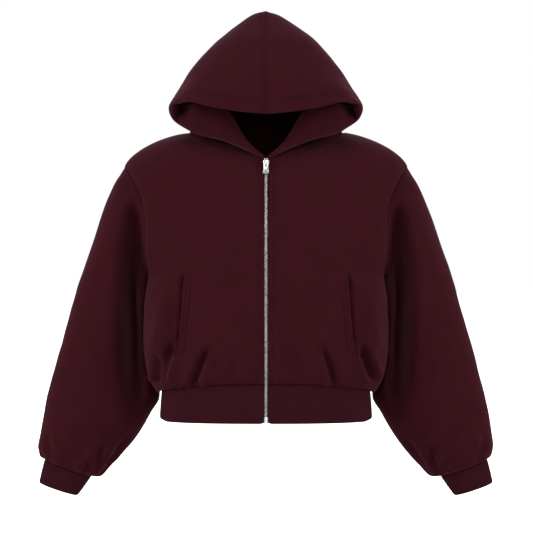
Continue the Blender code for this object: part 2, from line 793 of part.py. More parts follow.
def make_zip(metal, tape):
    chain = [
        (-CHAIN_HALF, CHAIN_HALF, y - CHAIN_PROUD, z)
        for y, z, _, _ in ZIP_ROWS[CHAIN_FROM_ROW : CHAIN_TO_ROW + 1]
    ]
    strip("zip_chain", chain, CHAIN_THICKNESS, metal)
    right = [(-half, -TAPE_MIDDLE, y + behind, z) for y, z, behind, half in ZIP_ROWS]
    left = [(TAPE_MIDDLE, half, y + behind, z) for y, z, behind, half in ZIP_ROWS]
    strip("zip_tape_right", right, TAPE_THICKNESS, tape)
    strip("zip_tape_left", left, TAPE_THICKNESS, tape)
    y, z = ZIP_ROWS[0][:2]
    for name, sign in (("zip_pin", -1), ("zip_box", 1)):
        centre = (sign * STOP_MIDDLE, y - CHAIN_PROUD + STOP_SIZE[1] / 2, z + STOP_SIZE[2] / 2)
        box_piece(name, centre, STOP_SIZE, 0.6, metal)
    for name, sign in (("top_stop_right", -1), ("top_stop_left", 1)):
        centre = (sign * TOP_STOP_MIDDLE, *TOP_STOP_AT)
        box_piece(name, centre, TOP_STOP_SIZE, 0.4, metal)


def box_piece(name, centre, size, bevel, material):
    place = Matrix.Translation(Vector(centre) * MM) @ Matrix.Diagonal((*(Vector(size) * MM), 1))
    bm = bmesh.new()
    bmesh.ops.create_cube(bm, size=1, matrix=place)
    bmesh.ops.bevel(bm, geom=bm.edges[:], offset=bevel * MM, segments=2, affect="EDGES", profile=0.5)
    return finish_bmesh(name, bm, material)


def finish_bmesh(name, bm, material):
    mesh = bpy.data.meshes.new(name)
    bm.to_mesh(mesh)
    bm.free()
    mesh.shade_smooth()
    mesh.set_sharp_from_angle(angle=math.radians(35))
    mesh.materials.append(material)
    piece = bpy.data.objects.new(name, mesh)
    collection.objects.link(piece)
    return piece


def slider_frame():
    """The slider's frame: x across, local y out of the garment, local z up along the slider."""
    y, z = SLIDER_TOP
    return Matrix.Translation((0, y, z)) @ Matrix.Rotation(-SLIDER_TILT, 4, "X")


def slab(outline, low, high):
    """A flat piece from its outline: (u, half width) down one side, mirrored, between two heights."""
    bm = bmesh.new()
    right = [(half, u) for u, half in outline]
    around = right + [(-half, u) for half, u in reversed(right)]
    bottom = [bm.verts.new((x * MM, -low * MM, -u * MM)) for x, u in around]
    bm.faces.new(bottom)
    made = bmesh.ops.extrude_face_region(bm, geom=bm.faces[:])
    moved = [item for item in made["geom"] if isinstance(item, bmesh.types.BMVert)]
    bmesh.ops.translate(bm, verts=moved, vec=(0, -(high - low) * MM, 0))
    bmesh.ops.recalc_face_normals(bm, faces=bm.faces[:])
    return bm


def side_prism(outline, width):
    """A piece from its side outline (u, v), as wide as the width across x."""
    bm = bmesh.new()
    ring_verts = [bm.verts.new((-width / 2 * MM, -v * MM, -u * MM)) for u, v in outline]
    bm.faces.new(ring_verts)
    made = bmesh.ops.extrude_face_region(bm, geom=bm.faces[:])
    moved = [item for item in made["geom"] if isinstance(item, bmesh.types.BMVert)]
    bmesh.ops.translate(bm, verts=moved, vec=(width * MM, 0, 0))
    bmesh.ops.recalc_face_normals(bm, faces=bm.faces[:])
    return bm


def helper_object(name, bm, frame):
    mesh = bpy.data.meshes.new(name)
    bm.to_mesh(mesh)
    bm.free()
    piece = bpy.data.objects.new(name, mesh)
    piece.matrix_world = frame
    piece.hide_render = True
    piece.display_type = "WIRE"
    cutters.objects.link(piece)
    return piece


def cut(piece, other, operation):
    modifier = piece.modifiers.new(operation.lower(), "BOOLEAN")
    modifier.operation = operation
    modifier.object = other


def make_slider(metal):
    """The slider's body with its bridge, through which the pull tab's eye hangs."""
    base = SLIDER_CLEAR / MM
    front = base + SLIDER_DEPTH / MM
    frame = slider_frame()
    slider = finish_bmesh("zip_slider", slab(SLIDER_OUTLINE, base, front), metal)
    slider.matrix_world = frame
    bridge = [(u, v + front) for u, v in BRIDGE_OUTLINE]
    # The eye's space: the hole stops at the slider's face, so only the bridge is cut.
    hole = [(u, max(v, 0) + front) for u, v in BRIDGE_HOLE]
    cut(slider, helper_object("bridge", side_prism(bridge, BRIDGE_WIDTH), frame), "UNION")
    cut(slider, helper_object("bridge_hole", side_prism(hole, BRIDGE_WIDTH * 2), frame), "DIFFERENCE")

    pivot = Vector((0, -(front + TAB_LIFT) * MM, -TAB_PIVOT * MM))
    half = TAB_THICKNESS / 2
    level = front + TAB_LIFT
    tab_mesh = slab(TAB_OUTLINE, level - half, level + half)
    bmesh.ops.translate(tab_mesh, verts=tab_mesh.verts, vec=-pivot)
    tab = finish_bmesh("pull_tab", tab_mesh, metal)
    tab.matrix_world = frame @ Matrix.Translation(pivot)
    top, bottom, half_width = TAB_HOLE
    eye = [(top, half_width), (bottom - 1.0, half_width), (bottom, half_width * 0.5)]
    eye_mesh = slab(eye, level - 3, level + 3)
    bmesh.ops.translate(eye_mesh, verts=eye_mesh.verts, vec=-pivot)
    cut(tab, helper_object("tab_eye", eye_mesh, tab.matrix_world), "DIFFERENCE")


# ---- materials and the whole ----------------------------------------------------------------------


def make_material(name, colour, roughness, metallic=0.0):
    material = bpy.data.materials.new(name)
    material.use_nodes = True
    shader = material.node_tree.nodes["Principled BSDF"]
    shader.inputs["Base Color"].default_value = (*colour, 1)
    shader.inputs["Roughness"].default_value = roughness
    shader.inputs["Metallic"].default_value = metallic
    material.diffuse_color = (*colour, 1)
    return material


def new_collection(name):
    made = bpy.data.collections.new(name)
    bpy.context.scene.collection.children.link(made)
    return made


def build():
    fleece = make_material("fleece", (0.105, 0.016, 0.024), 0.95)
    rib = make_material("rib_knit", (0.085, 0.013, 0.020), 0.9)
    tape = make_material("zip_tape", (0.09, 0.014, 0.02), 0.8)
    metal = make_material("zip_metal", (0.62, 0.60, 0.56), 0.32, 1.0)

    neck = neck_points()
    cloths, front_grid = make_fronts(neck)
    cloths["back"], back_grid = make_back(neck)
    sleeves, cuff_seam, seam_turns = make_sleeves(front_grid, back_grid)
    cloths |= sleeves
    cloths |= make_hood(neck)
    normals = joined_normals(cloths)
    for name, cloth in cloths.items():
        thickness = HOOD_WALL if name.startswith("hood") else BODY_WALL
        wall(name, cloth, normals[name], thickness, fleece)
    make_hem(front_grid[0], back_grid[0], rib)
    make_cuffs(cuff_seam, seam_turns, rib)
    make_welt("pocket_welt_right", -1, cloths["front_right"], fleece)
    make_welt("pocket_welt_left", 1, cloths["front_left"], fleece)
    make_zip(metal, tape)
    make_slider(metal)


for old in list(bpy.data.objects):
    bpy.data.objects.remove(old, do_unlink=True)
collection = new_collection("zip_up_hoodie")
cutters = new_collection("cutters")
build()
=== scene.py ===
# Zip-up hoodie in heavy brushed fleece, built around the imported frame. The front faces -Y, +Z is up
# and +X is the wearer's left. Tables are in millimetres, everything else is in metres.

import math

import bmesh
import bpy
import numpy as np
from mathutils import Matrix, Vector
from mathutils.bvhtree import BVHTree


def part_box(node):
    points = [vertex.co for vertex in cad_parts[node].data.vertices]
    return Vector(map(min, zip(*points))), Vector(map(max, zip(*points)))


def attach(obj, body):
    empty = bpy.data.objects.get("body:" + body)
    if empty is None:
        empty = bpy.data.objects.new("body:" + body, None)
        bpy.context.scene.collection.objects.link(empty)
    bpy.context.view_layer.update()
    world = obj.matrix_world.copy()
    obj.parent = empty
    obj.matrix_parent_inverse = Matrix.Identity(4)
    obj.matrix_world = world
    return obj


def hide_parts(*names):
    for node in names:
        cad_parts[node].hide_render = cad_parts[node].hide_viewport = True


mm = 0.001
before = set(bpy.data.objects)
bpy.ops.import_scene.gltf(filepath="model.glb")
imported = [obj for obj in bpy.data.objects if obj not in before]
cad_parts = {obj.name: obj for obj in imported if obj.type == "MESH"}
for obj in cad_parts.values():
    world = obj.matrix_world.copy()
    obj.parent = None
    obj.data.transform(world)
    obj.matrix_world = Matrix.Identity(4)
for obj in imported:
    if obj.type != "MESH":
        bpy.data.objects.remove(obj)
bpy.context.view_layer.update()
print("frame loaded:", len(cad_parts), "nodes")

scene = bpy.context.scene
body = "garment"
sides = {"right": -1, "left": 1}

cloth = {
    "bodyWall": 3.0 * mm,
    "hoodWall": 3.2 * mm,  # two layers of fleece
    "seamGap": -0.2 * mm,  # the rounded edges press together
    "seamFade": 9 * mm,  # beside a seam the cloth is pressed in less
    "frontEdge": 4.0,  # half the gap between the fronts, in which the zip lies, mm
    "columns": 96,  # across half the body
    "edgeDraw": 0.55,  # how much closer together they lie at a panel's edges
    "armSteps": 7,  # rows between two table rows beside the armhole
    "yokeSteps": 6,  # rows between two table rows at the neckline
    "welding": 0.01 * mm,  # points closer than this are one
    "meeting": 0.05 * mm,  # and seam points of two pieces meet within this
    "hollowSeam": 0.1,  # above this a seam bends inwards, and its pieces keep their own normals
    "flatSeam": (0.3, 0.4),  # but share them the flatter they lie, from this on and over this much
    "edgeTurns": (40, 90, 140),  # places round the edge of the cloth, in degrees
}
underarmRow = 8
neckRow = 14
cornerStation = 4

# Side seam, from the hem seam to the underarm: x, y, z
sideRows = [
    (197.5, -10, -462), (205, -14, -485), (219, -18, -466), (227, -20, -443), (232, -20, -415),
    (233.8, -20, -385), (233.5, -18, -348), (231, -13, -305), (226, 0, -262),
]

# Armhole seam, from the underarm to the shoulder tip
armholeFront = [
    (226, 0, -262), (223, -25, -252), (221, -43, -230), (221, -53, -200), (224, -57, -165),
    (231, -56, -130), (241, -50, -102), (251, -40, -82), (260, -27, -68), (266, -14, -59),
    (270, -4, -55), (272, 5, -53),
]
armholeBack = [
    (226, 0, -262), (226, 23, -250), (227, 43, -226), (229, 56, -195), (233, 64, -160), (240, 65, -127),
    (249, 60, -100), (258, 48, -80), (265, 34, -66), (270, 20, -57.5), (272, 12, -54.5), (272, 5, -53),
]

# Centre line of each body row: y, z, place on the armhole, squareness, fall, roll beside the armhole
frontBody = [
    (-117, -462, 0, 2.5, 2.0, 0), (-121.5, -459.5, 0, 2.5, 2.0, 0), (-125, -450, 0, 2.5, 2.0, 0),
    (-127, -436, 0, 2.5, 2.0, 0), (-128, -412, 0, 2.5, 2.0, 0), (-128.5, -383, 0, 2.5, 2.0, 0),
    (-127.5, -345, 0, 2.5, 2.0, 0), (-126.5, -300, 0, 2.5, 2.0, 0), (-125.5, -258, 0, 2.5, 2.0, 0),
    (-124, -218, 0.10, 2.6, 2.0, 3), (-121, -178, 0.20, 2.7, 1.8, 8), (-115.5, -140, 0.30, 2.7, 1.7, 9),
    (-108, -106, 0.40, 2.6, 1.6, 7), (-99, -74, 0.50, 2.5, 1.55, 4), (-90, -44, 0.60, 2.4, 1.55, 2),
]
backBody = [
    (108, -462, 0, 2.2, 2.0, 0), (114, -469, 0, 2.2, 2.0, 0), (119, -457, 0, 2.1, 2.0, 0),
    (121, -438, 0, 2.1, 2.0, 0), (121, -412, 0, 2.1, 2.0, 0), (120, -383, 0, 2.1, 2.0, 0),
    (118, -345, 0, 2.1, 2.0, 0), (117, -300, 0, 2.15, 2.0, 0), (118, -256, 0, 2.2, 2.0, 0),
    (119, -212, 0.10, 2.3, 2.0, 1), (119, -167, 0.20, 2.4, 1.8, 3), (116, -122, 0.30, 2.4, 1.7, 5),
    (109, -76, 0.40, 2.4, 1.6, 3), (98, -30, 0.50, 2.3, 1.55, 1), (84, 12, 0.60, 2.2, 1.55, 0),
]
lowerSteps = [5, 6, 7, 7, 8, 9, 10, 10]  # rows between the table rows below the underarm
yoke = {"full": 2.4, "fall": 1.55}

# Half the hood in stations from the zip to the centre back: x, y, z
neckStations = [
    (4, -90, -44), (48, -83, -33), (90, -67, -19), (123, -38, -1), (147, 5, 13.5), (128, 40, 14),
    (96, 66, 14.5), (50, 80, 13), (0, 84, 12),
]
underStations = [
    (4, -90.3, -41.8), (44, -52, -23), (86, -25, -3), (117, -25, 6), (145, 2, 19), (126, 37, 22),
    (95, 62, 23), (49.5, 76, 22), (0, 80, 21),
]
lipStations = [
    (4, -90.5, -39.4), (42, -91, -17.5), (88, -94, -0.5), (129, -70, 8), (150, -24, 20), (146, 31, 29),
    (110, 72, 32), (57, 92, 32), (0, 97, 31),
]
cheekStations = [
    (4, -90.7, -37.2), (36.5, -91.5, -13.5), (82, -99, 20), (142, -90, 33), (173, -60, 37),
    (167, 14, 45), (132, 74, 51), (68, 103, 54), (0, 111, 55),
]
edgeStations = [
    (4, -90.8, -35), (33, -88.5, -8), (80, -82, 58.5), (133, -85, 63), (172, -92, 60), (178, -5, 62),
    (142, 68, 70), (75, 108, 77), (0, 120, 80),
]
brimStations = [
    (0, -150, 38), (55, -146, 43.5), (108, -133, 54), (149, -115.5, 64.5), (172, -92, 60),
]

# Hood rings above the mouth: front z, y; side z, half width, y; back z, y; squareness; corner's angle
crownRows = [
    (60, -148, 77, 173, -36, 100, 124, 2.4, 62), (85, -141, 98, 160.5, -30, 120, 126, 2.3, 70),
    (112, -129, 122, 145, -24, 142, 125, 2.2, 78), (140, -111, 148, 128, -16, 165, 120, 2.1, 84),
    (168, -88, 173, 109, -6, 187, 109, 2.0, 88), (193, -63, 197, 86.5, 4, 207, 95, 2.0, 90),
    (215, -36, 217, 62, 12, 223, 79, 2.0, 90), (233, -12, 234, 38.5, 18, 237, 62, 2.0, 90),
    (244, 4, 244.5, 21, 22, 245, 48, 2.0, 90), (249.5, 14, 250, 0, 25, 250, 37, 2.0, 90),
]
funnelSteps = [4, 6, 7, 7]
crownSteps = [14, 9, 7, 7, 7, 7, 7, 6, 4, 3]

# Sleeve rings: outer point, inner point, how far the ring stands out in front and behind, squareness
sleeveRows = [
    (284, 7, -73, 226, 8, -272, 70, 74, 2.2), (298, 8, -101, 225, 16, -284, 77, 80, 2.2),
    (317, 10, -147, 226, 22, -306, 80, 82, 2.15), (334, 11, -195, 229, 26, -336, 78, 80, 2.1),
    (351, 12, -244, 231, 28, -368, 75, 77, 2.1), (366, 13, -293, 229, 31, -402, 73, 75, 2.1),
    (381, 14, -344, 225, 34, -436, 71, 73, 2.1), (395, 15, -394, 210, 40, -468, 69, 71, 2.1),
    (408, 15, -440, 207, 40, -498, 67, 69, 2.1), (421, 14, -488, 222, 36, -524, 65, 66, 2.1),
    (430, 12, -532, 240, 32, -556, 62, 62, 2.1), (436, 10, -570, 268, 26, -594, 56, 56, 2.1),
    (437.5, 8, -593, 296, 20, -624, 48, 48, 2.1), (433, 6, -606, 319, 14, -645.5, 40, 40, 2.0),
    (425, 5, -612, 336, 10, -646, 31, 31, 2.0),
]
sleeveSteps = [5, 8, 10, 10, 10, 10, 10, 10, 9, 9, 8, 8, 6, 6, 5]
# Hollow in the sleeve beside the body: level, its middle along X, half its width, its depth
valleyRows = [
    (-535, 252, 15, 0), (-500, 252, 15, 14), (-460, 254, 15, 50), (-420, 256, 15, 82),
    (-310, 256, 15, 90), (-260, 252, 18, 60), (-200, 249, 20, 40), (-150, 246, 20, 26),
    (-100, 244, 20, 0),
]

ribs = {
    "height": 0.55 * mm,
    "pitch": 3.7 * mm,
    "pointsPerRib": 6,
    "roundness": 0.7,
    "hemLevel": -536 * mm,
    "hemWidening": 1.03,
    "hemCorner": 6.5 * mm,
    "sideRise": 3.5 * mm,  # the hem's lower edge is a little higher at the sides
    "sideShare": 0.92,  # from this share of its half width on
    "sideFade": 0.08,  # and over this much of it
    "cuffEnd": (436, 3, -657.4, 362.5, 5, -683.1, 24, 24, 2.0),
    "cuffRibs": 60,
}

# Main folds. Side is the side that the fold is seen from; then its two ends as x and z, its half
# width, its depth and how far its middle bows sideways.
folds = {
    "front": [
        (-170, -374, -193, -455, 7, 14, 3), (-199, -398, -206, -460, 6.5, 14, 0),
        (-100, -384, -134, -462, 7.5, 13, 3), (99, -380, 126, -460, 7.5, 12, -3),
        (178, -380, 204, -456, 7.5, 16, 3), (27, -378, 62, -458, 11, 6, -4),
        (-174, -262, -208, -398, 13, -6.5, 4), (180, -256, 204, -396, 13, -4.5, -5),
        (-150, -350, -176, -420, 16, 3, 4), (150, -345, 182, -415, 16, 2.6, -4),
        (-46, -398, -71, -457, 9, 4.2, 0), (70, -424, 76, -458, 10, 2.2, 0),
        (-196, -240, -186, -330, 18, 2.4, 0), (196, -250, 188, -340, 18, 2.2, 0),
        (-60, -120, -150, -165, 26, 2.0, -8), (70, -118, 150, -160, 26, 1.8, 8),
    ],
    "back": [
        (-160, -395, -172, -456, 11, 7, 3), (-96, -402, -102, -458, 12, 5, -2),
        (-30, -410, -26, -458, 12, 4, 0), (44, -404, 50, -458, 12, 5, 2),
        (112, -398, 120, -456, 11, 6.5, -2), (178, -392, 186, -454, 11, 7.5, 2),
        (-206, -404, -211, -456, 9, 6, 0), (208, -410, 210, -456, 9, 5, 0),
        (-190, -230, -120, -330, 22, 3.4, 12), (192, -224, 128, -320, 22, 3.0, -12),
        (-150, -110, -60, -150, 26, 2.4, -8), (150, -104, 66, -146, 26, 2.2, 8),
        (-60, -330, 60, -345, 34, 2.4, -10),
    ],
}
foldShape = {
    "beside": 0.42,  # how much the cloth beside a trough stands up
    "besideAt": 1.9,  # at so many half widths
    "body": (0.45, 1.1, 0.15),  # where a fold is full, where it ends and how fast, as shares of its length
    "sleeve": (0.4, 1.15, 0.3),
    "facing": (0.05, 0.4),  # they start so far beyond edge-on, and are full over so much
}

# Gathers above the hem seam: its level, their reach, pitch and depth, and a seed
gathers = {"front": (-464, 26, 23, 1.5, 3), "back": (-466, 30, 24, 1.7, 5)}
gatherShape = {
    "deeper": 1.6,  # the body is taken as this much deeper, so that the pitch is even round it
    "wander": 2.5,
    "wanderSize": 120 * mm,
    "strength": (0.55, 0.45),  # what all have, and what only some have
    "strengthSize": 90 * mm,
    "fade": 2.2,
}

# Low uneven waves of each piece: depth and size of the wide ones, then of the small ones
waves = {
    "front": (1.3, 150, 0.5, 48),
    "back": (1.6, 160, 0.5, 50),
    "sleeve": (1.6, 130, 0.5, 46),
    "hood": (1.1, 120, 0.4, 44),
}
waveField = {"count": 9, "lengths": (0.7, 1.6), "height": 4.5}
waveSeeds = {"front": 11, "back": 21, "sleeve": {-1: 31, 1: 37}, "hood": {-1: 41, 1: 47}}
print("tables read")


def inMetres(rows):
    return np.array(rows, float) * mm


def smoothRows(rows, steps):
    # Centripetal Catmull-Rom curves through matching points of the rows
    rows = np.asarray(rows, float)
    ends = np.concatenate([[2 * rows[0] - rows[1]], rows, [2 * rows[-1] - rows[-2]]])
    made = [rows[0]]
    for i, count in enumerate(steps):
        p = ends[i : i + 4]
        t = [np.zeros(p[0].shape[:-1] + (1,))]
        for k in range(3):
            gap = np.sqrt(np.linalg.norm(p[k + 1] - p[k], axis=-1, keepdims=True))
            t.append(t[-1] + np.maximum(gap, 1e-4))
        for step in range(1, count + 1):
            at = t[1] + (t[2] - t[1]) * step / count
            line = p
            for span in (1, 2):
                line = [
                    (line[k] * (t[k + span] - at) + line[k + 1] * (at - t[k])) / (t[k + span] - t[k])
                    for k in range(4 - span)
                ]
            made.append((line[0] * (t[2] - at) + line[1] * (at - t[1])) / (t[2] - t[1]))
    return np.array(made)


def runLengths(line):
    return np.concatenate([[0], np.cumsum(np.linalg.norm(np.diff(line, axis=0), axis=1))])


def atShares(line, shares):
    run = runLengths(line)
    return np.stack([np.interp(np.asarray(shares) * run[-1], run, line[:, k]) for k in range(3)], 1)


def alongCurve(rows, shares):
    points = inMetres(rows)
    return atShares(smoothRows(points, [12] * (len(points) - 1)), shares)


def softStep(value):
    value = np.clip(value, 0, 1)
    return value * value * (3 - 2 * value)


def mirrored(points):
    return np.asarray(points) * (-1, 1, 1)


def unit(vectors):
    return vectors / np.maximum(np.linalg.norm(vectors, axis=-1, keepdims=True), 1e-12)


def unevenness(points, size, seed):
    # A smooth field between about -1 and 1, the same on each run
    pick = np.random.default_rng(seed)
    total = np.zeros(len(points))
    for _ in range(waveField["count"]):
        direction = pick.normal(size=3)
        direction /= np.linalg.norm(direction)
        wave = 2 * math.pi / (size * pick.uniform(*waveField["lengths"]))
        total += np.sin(points @ direction * wave + pick.uniform(0, 2 * math.pi))
    return total / waveField["height"]


def unevenDepth(points, piece, seed):
    wide, wideSize, small, smallSize = inMetres(waves[piece])
    return wide * unevenness(points, wideSize, seed) + small * unevenness(points, smallSize, seed + 1)


def trough(away, beside=foldShape["beside"]):
    # A fold's section, for how many half widths a point is from its middle
    return np.exp(-(away**2)) - beside * np.exp(-((np.abs(away) - foldShape["besideAt"]) ** 2))


def alongFold(share, full, end, fall):
    return softStep(share / full) * softStep((end - share) / fall)


def pointKeys(points, size):
    return np.round(points / size).astype(int)


class Panel:
    # One cut piece of cloth: four-sided faces over welded points, with the cloth's own coordinates
    def __init__(self, name, *grids, flips=(False, False, False)):
        self.name = name
        self.corners = []
        self.cornerUvs = []
        self.rows = None  # for each point, how far it is from its rows of stitches
        for grid, flip in zip(grids, flips):
            self.addGrid(grid, flip)
        self.weld()

    def addGrid(self, grid, flip):
        grid = np.asarray(grid, float)
        across = np.cumsum(np.linalg.norm(np.diff(grid, axis=1, prepend=grid[:, :1]), axis=2), axis=1)
        up = np.cumsum(np.linalg.norm(np.diff(grid, axis=0, prepend=grid[:1]), axis=2), axis=0)
        uv = np.stack([across, up], 2)
        near, far = slice(0, -1), slice(1, None)
        picks = [(near, near), (near, far), (far, far), (far, near)]
        if flip:
            picks = [picks[0]] + picks[:0:-1]
        self.corners.append(np.stack([grid[pick].reshape(-1, 3) for pick in picks], 1))
        self.cornerUvs.append(np.stack([uv[pick].reshape(-1, 2) for pick in picks], 1))

    def weld(self):
        corners = np.concatenate(self.corners).reshape(-1, 3)
        keys = pointKeys(corners, cloth["welding"])
        _, first, index = np.unique(keys, axis=0, return_index=True, return_inverse=True)
        self.points = corners[first]
        self.quads = index.reshape(-1, 4)
        self.uvs = np.concatenate(self.cornerUvs)

    def normals(self):
        a, b, c, d = (self.points[self.quads[:, k]] for k in range(4))
        across = np.cross(c - a, d - b)
        total = np.zeros_like(self.points)
        for k in range(4):
            np.add.at(total, self.quads[:, k], across)
        return unit(total)

    def rim(self):
        quads = self.quads
        edges = np.concatenate([quads[:, [k, (k + 1) % 4]] for k in range(4)])
        size = len(self.points)
        there = edges[:, 0] * size + edges[:, 1]
        back = edges[:, 1] * size + edges[:, 0]
        return edges[~np.isin(there, back)]

    def inward(self, normals):
        edges = self.rim()
        step = unit(self.points[edges[:, 1]] - self.points[edges[:, 0]])
        total = np.zeros_like(self.points)
        np.add.at(total, edges[:, 0], step)
        np.add.at(total, edges[:, 1], step)
        return unit(np.cross(normals, total))

    def away(self, *lines):
        # How far each point is from the nearest of those lines
        return np.min([distanceTo(self.points, line) for line in lines], axis=0)

    def spread(self, grid, values):
        # Values given over a grid of this panel, for each of its welded points
        found = np.zeros(len(self.points))
        keys = map(tuple, pointKeys(self.points, cloth["welding"]).tolist())
        places = {key: i for i, key in enumerate(keys)}
        for key, value in zip(pointKeys(grid.reshape(-1, 3), cloth["welding"]).tolist(), values.ravel()):
            found[places[tuple(key)]] = value
        return found

    def setRows(self, pair=None, single=None, secondPair=None):
        far = np.full(len(self.points), 1.0)
        self.rows = np.stack([far if row is None else row for row in (pair, single, secondPair)], 1)

    def mirror(self):
        self.points = mirrored(self.points)
        self.quads = self.quads[:, [0, 3, 2, 1]]
        self.uvs = self.uvs[:, [0, 3, 2, 1]]


def distanceTo(points, line):
    best = np.full(len(points), 1e9)
    for a, b in zip(line[:-1], line[1:]):
        run = b - a
        share = np.clip((points - a) @ run / max(run @ run, 1e-12), 0, 1)
        best = np.minimum(best, np.linalg.norm(points - a - share[:, None] * run, axis=1))
    return best


def joinedNormals(panels):
    # Where panels meet at a seam that bends outwards or is nearly flat they share one normal
    own = {panel.name: panel.normals() for panel in panels}
    into = {panel.name: panel.inward(own[panel.name]) for panel in panels}
    meeting = {}
    for panel in panels:
        for index in np.unique(panel.rim()):
            key = tuple(pointKeys(panel.points[index], cloth["meeting"]))
            meeting.setdefault(key, []).append((panel.name, index))
    joined = {name: normals.copy() for name, normals in own.items()}
    flat, over = cloth["flatSeam"]
    for group in meeting.values():
        for name, index in group:
            total = own[name][index].copy()
            for other, otherIndex in group:
                if other == name:
                    continue
                normal = own[other][otherIndex]
                hollow = into[name][index] @ normal + into[other][otherIndex] @ own[name][index]
                flatness = np.clip((own[name][index] @ normal - flat) / over, 0, 1)
                total += normal * (1 if hollow < cloth["hollowSeam"] else flatness)
            joined[name][index] = total / np.linalg.norm(total)
    return joined


def placed(name, data):
    made = bpy.data.objects.new(name, data)
    scene.collection.objects.link(made)
    return made


def finishMesh(bm, name, material=None):
    mesh = bpy.data.meshes.new(name)
    bm.to_mesh(mesh)
    bm.free()
    mesh.shade_smooth()
    if material:
        mesh.materials.append(material)
    return mesh


def meshObject(name, points, faces, material, uvs):
    mesh = bpy.data.meshes.new(name)
    mesh.from_pydata(np.asarray(points).tolist(), [], faces)
    mesh.uv_layers.new(name="cloth").data.foreach_set("uv", np.asarray(uvs, np.float32).ravel())
    mesh.shade_smooth()
    mesh.materials.append(material)
    return placed(name, mesh)


def walled(panel, normals, wall, material):
    # The cloth's outer and inner side, joined by a rounded edge; at a seam two such edges meet
    points = panel.points
    inward = panel.inward(normals)
    half = wall / 2
    outer = points + inward * (half + cloth["seamGap"] / 2)
    edges = panel.rim()
    rimPoints = np.unique(edges)
    place = np.full(len(points), -1)
    place[rimPoints] = np.arange(len(rimPoints))
    layers = [outer, outer - normals * wall]
    rings = [edges]
    total = 2 * len(points)
    for degrees in cloth["edgeTurns"]:
        turn = math.radians(degrees)
        out = normals[rimPoints] * math.cos(turn) - inward[rimPoints] * math.sin(turn)
        layers.append(outer[rimPoints] - normals[rimPoints] * half + out * half)
        rings.append(place[edges] + total)
        total += len(rimPoints)
    rings.append(edges + len(points))
    faces = [panel.quads, panel.quads[:, [0, 3, 2, 1]] + len(points)]
    uvs = [panel.uvs, panel.uvs[:, [0, 3, 2, 1]]]
    uvAt = np.zeros((len(points), 2))
    uvAt[panel.quads.ravel()] = panel.uvs.reshape(-1, 2)
    for near, far in zip(rings[:-1], rings[1:]):
        faces.append(np.stack([near[:, 1], near[:, 0], far[:, 0], far[:, 1]], 1))
        uvs.append(uvAt[edges[:, [1, 0, 0, 1]]])
    faces = np.concatenate(faces).tolist()
    piece = meshObject(panel.name + "_cloth", np.concatenate(layers), faces, material, np.concatenate(uvs))
    if panel.rows is not None:
        rows = np.concatenate([panel.rows, panel.rows] + [panel.rows[rimPoints]] * 3)
        layer = piece.data.attributes.new("seamRows", "FLOAT_VECTOR", "POINT")
        layer.data.foreach_set("vector", rows.astype(np.float32).ravel())
    return piece


def contour(panel, field, level):
    # The longest line over the panel on which the field has the level, with the normals beside it
    triangles = np.concatenate([panel.quads[:, [0, 1, 2]], panel.quads[:, [0, 2, 3]]])
    above = field[triangles] > level
    crossed = triangles[(above.any(1)) & (~above.all(1))]
    links = {}
    for triangle in crossed.tolist():
        cut = []
        for a, b in ((0, 1), (1, 2), (2, 0)):
            p, q = triangle[a], triangle[b]
            if (field[p] > level) != (field[q] > level):
                cut.append((min(p, q), max(p, q)))
        if len(cut) == 2:
            links.setdefault(cut[0], []).append(cut[1])
            links.setdefault(cut[1], []).append(cut[0])
    chains = []
    left = dict(links)
    while left:
        start = next((key for key in left if len(left[key]) == 1), next(iter(left)))
        chain = [start]
        following = left.pop(start)
        while following := [key for key in following if key in left]:
            chain.append(following[0])
            following = left.pop(following[0])
        chains.append(chain)
    p, q = np.array(max(chains, key=len)).T
    share = ((level - field[p]) / (field[q] - field[p]))[:, None]
    beside = np.hstack([panel.points, panel.normals()])
    return beside[p] * (1 - share) + beside[q] * share


def evened(line, step, passes=6):
    # The line with even steps and its small steps from face to face smoothed out
    run = runLengths(line[:, :3])
    count = max(int(run[-1] / step), 2)
    at = np.linspace(0, run[-1], count + 1)
    line = np.stack([np.interp(at, run, line[:, k]) for k in range(line.shape[1])], 1)
    for _ in range(passes):
        line[1:-1] = line[1:-1] * 0.5 + (line[:-2] + line[2:]) * 0.25
    return line


# Node trees, for materials and for what repeats


def addNode(tree, kind, inputs, **settings):
    # A node with its settings, and its inputs set or linked by name or number
    node = tree.nodes.new(kind)
    for name, value in settings.items():
        setattr(node, name, value)
    for name, value in inputs.items():
        if isinstance(value, bpy.types.NodeSocket):
            tree.links.new(value, node.inputs[name])
        else:
            node.inputs[name].default_value = value
    return node


def mathNode(tree, operation, *values):
    return addNode(tree, "ShaderNodeMath", dict(enumerate(values)), operation=operation).outputs[0]


def noiseNode(tree, vector, scale, detail, roughness=0.55):
    inputs = {"Vector": vector, "Scale": scale, "Detail": detail, "Roughness": roughness}
    return addNode(tree, "ShaderNodeTexNoise", inputs).outputs["Fac"]


def bumpNode(tree, height, distance, strength, under=None):
    inputs = {"Height": height, "Distance": distance, "Strength": strength}
    if under is not None:
        inputs["Normal"] = under
    return addNode(tree, "ShaderNodeBump", inputs).outputs["Normal"]


def startGroup(name, kind, inputs):
    # Each input is given by its kind, or as a number by its value at first
    group = bpy.data.node_groups.new(name, kind + "NodeTree")
    for label, value in inputs.items():
        socketType = "NodeSocket" + (value if isinstance(value, str) else "Float")
        socket = group.interface.new_socket(name=label, in_out="INPUT", socket_type=socketType)
        if not isinstance(value, str):
            socket.default_value = value
    return group, group.nodes.new("NodeGroupInput").outputs


def finishGroup(group, kind="Float", **results):
    for name in results:
        group.interface.new_socket(name=name, in_out="OUTPUT", socket_type="NodeSocket" + kind)
    addNode(group, "NodeGroupOutput", results)
    return group


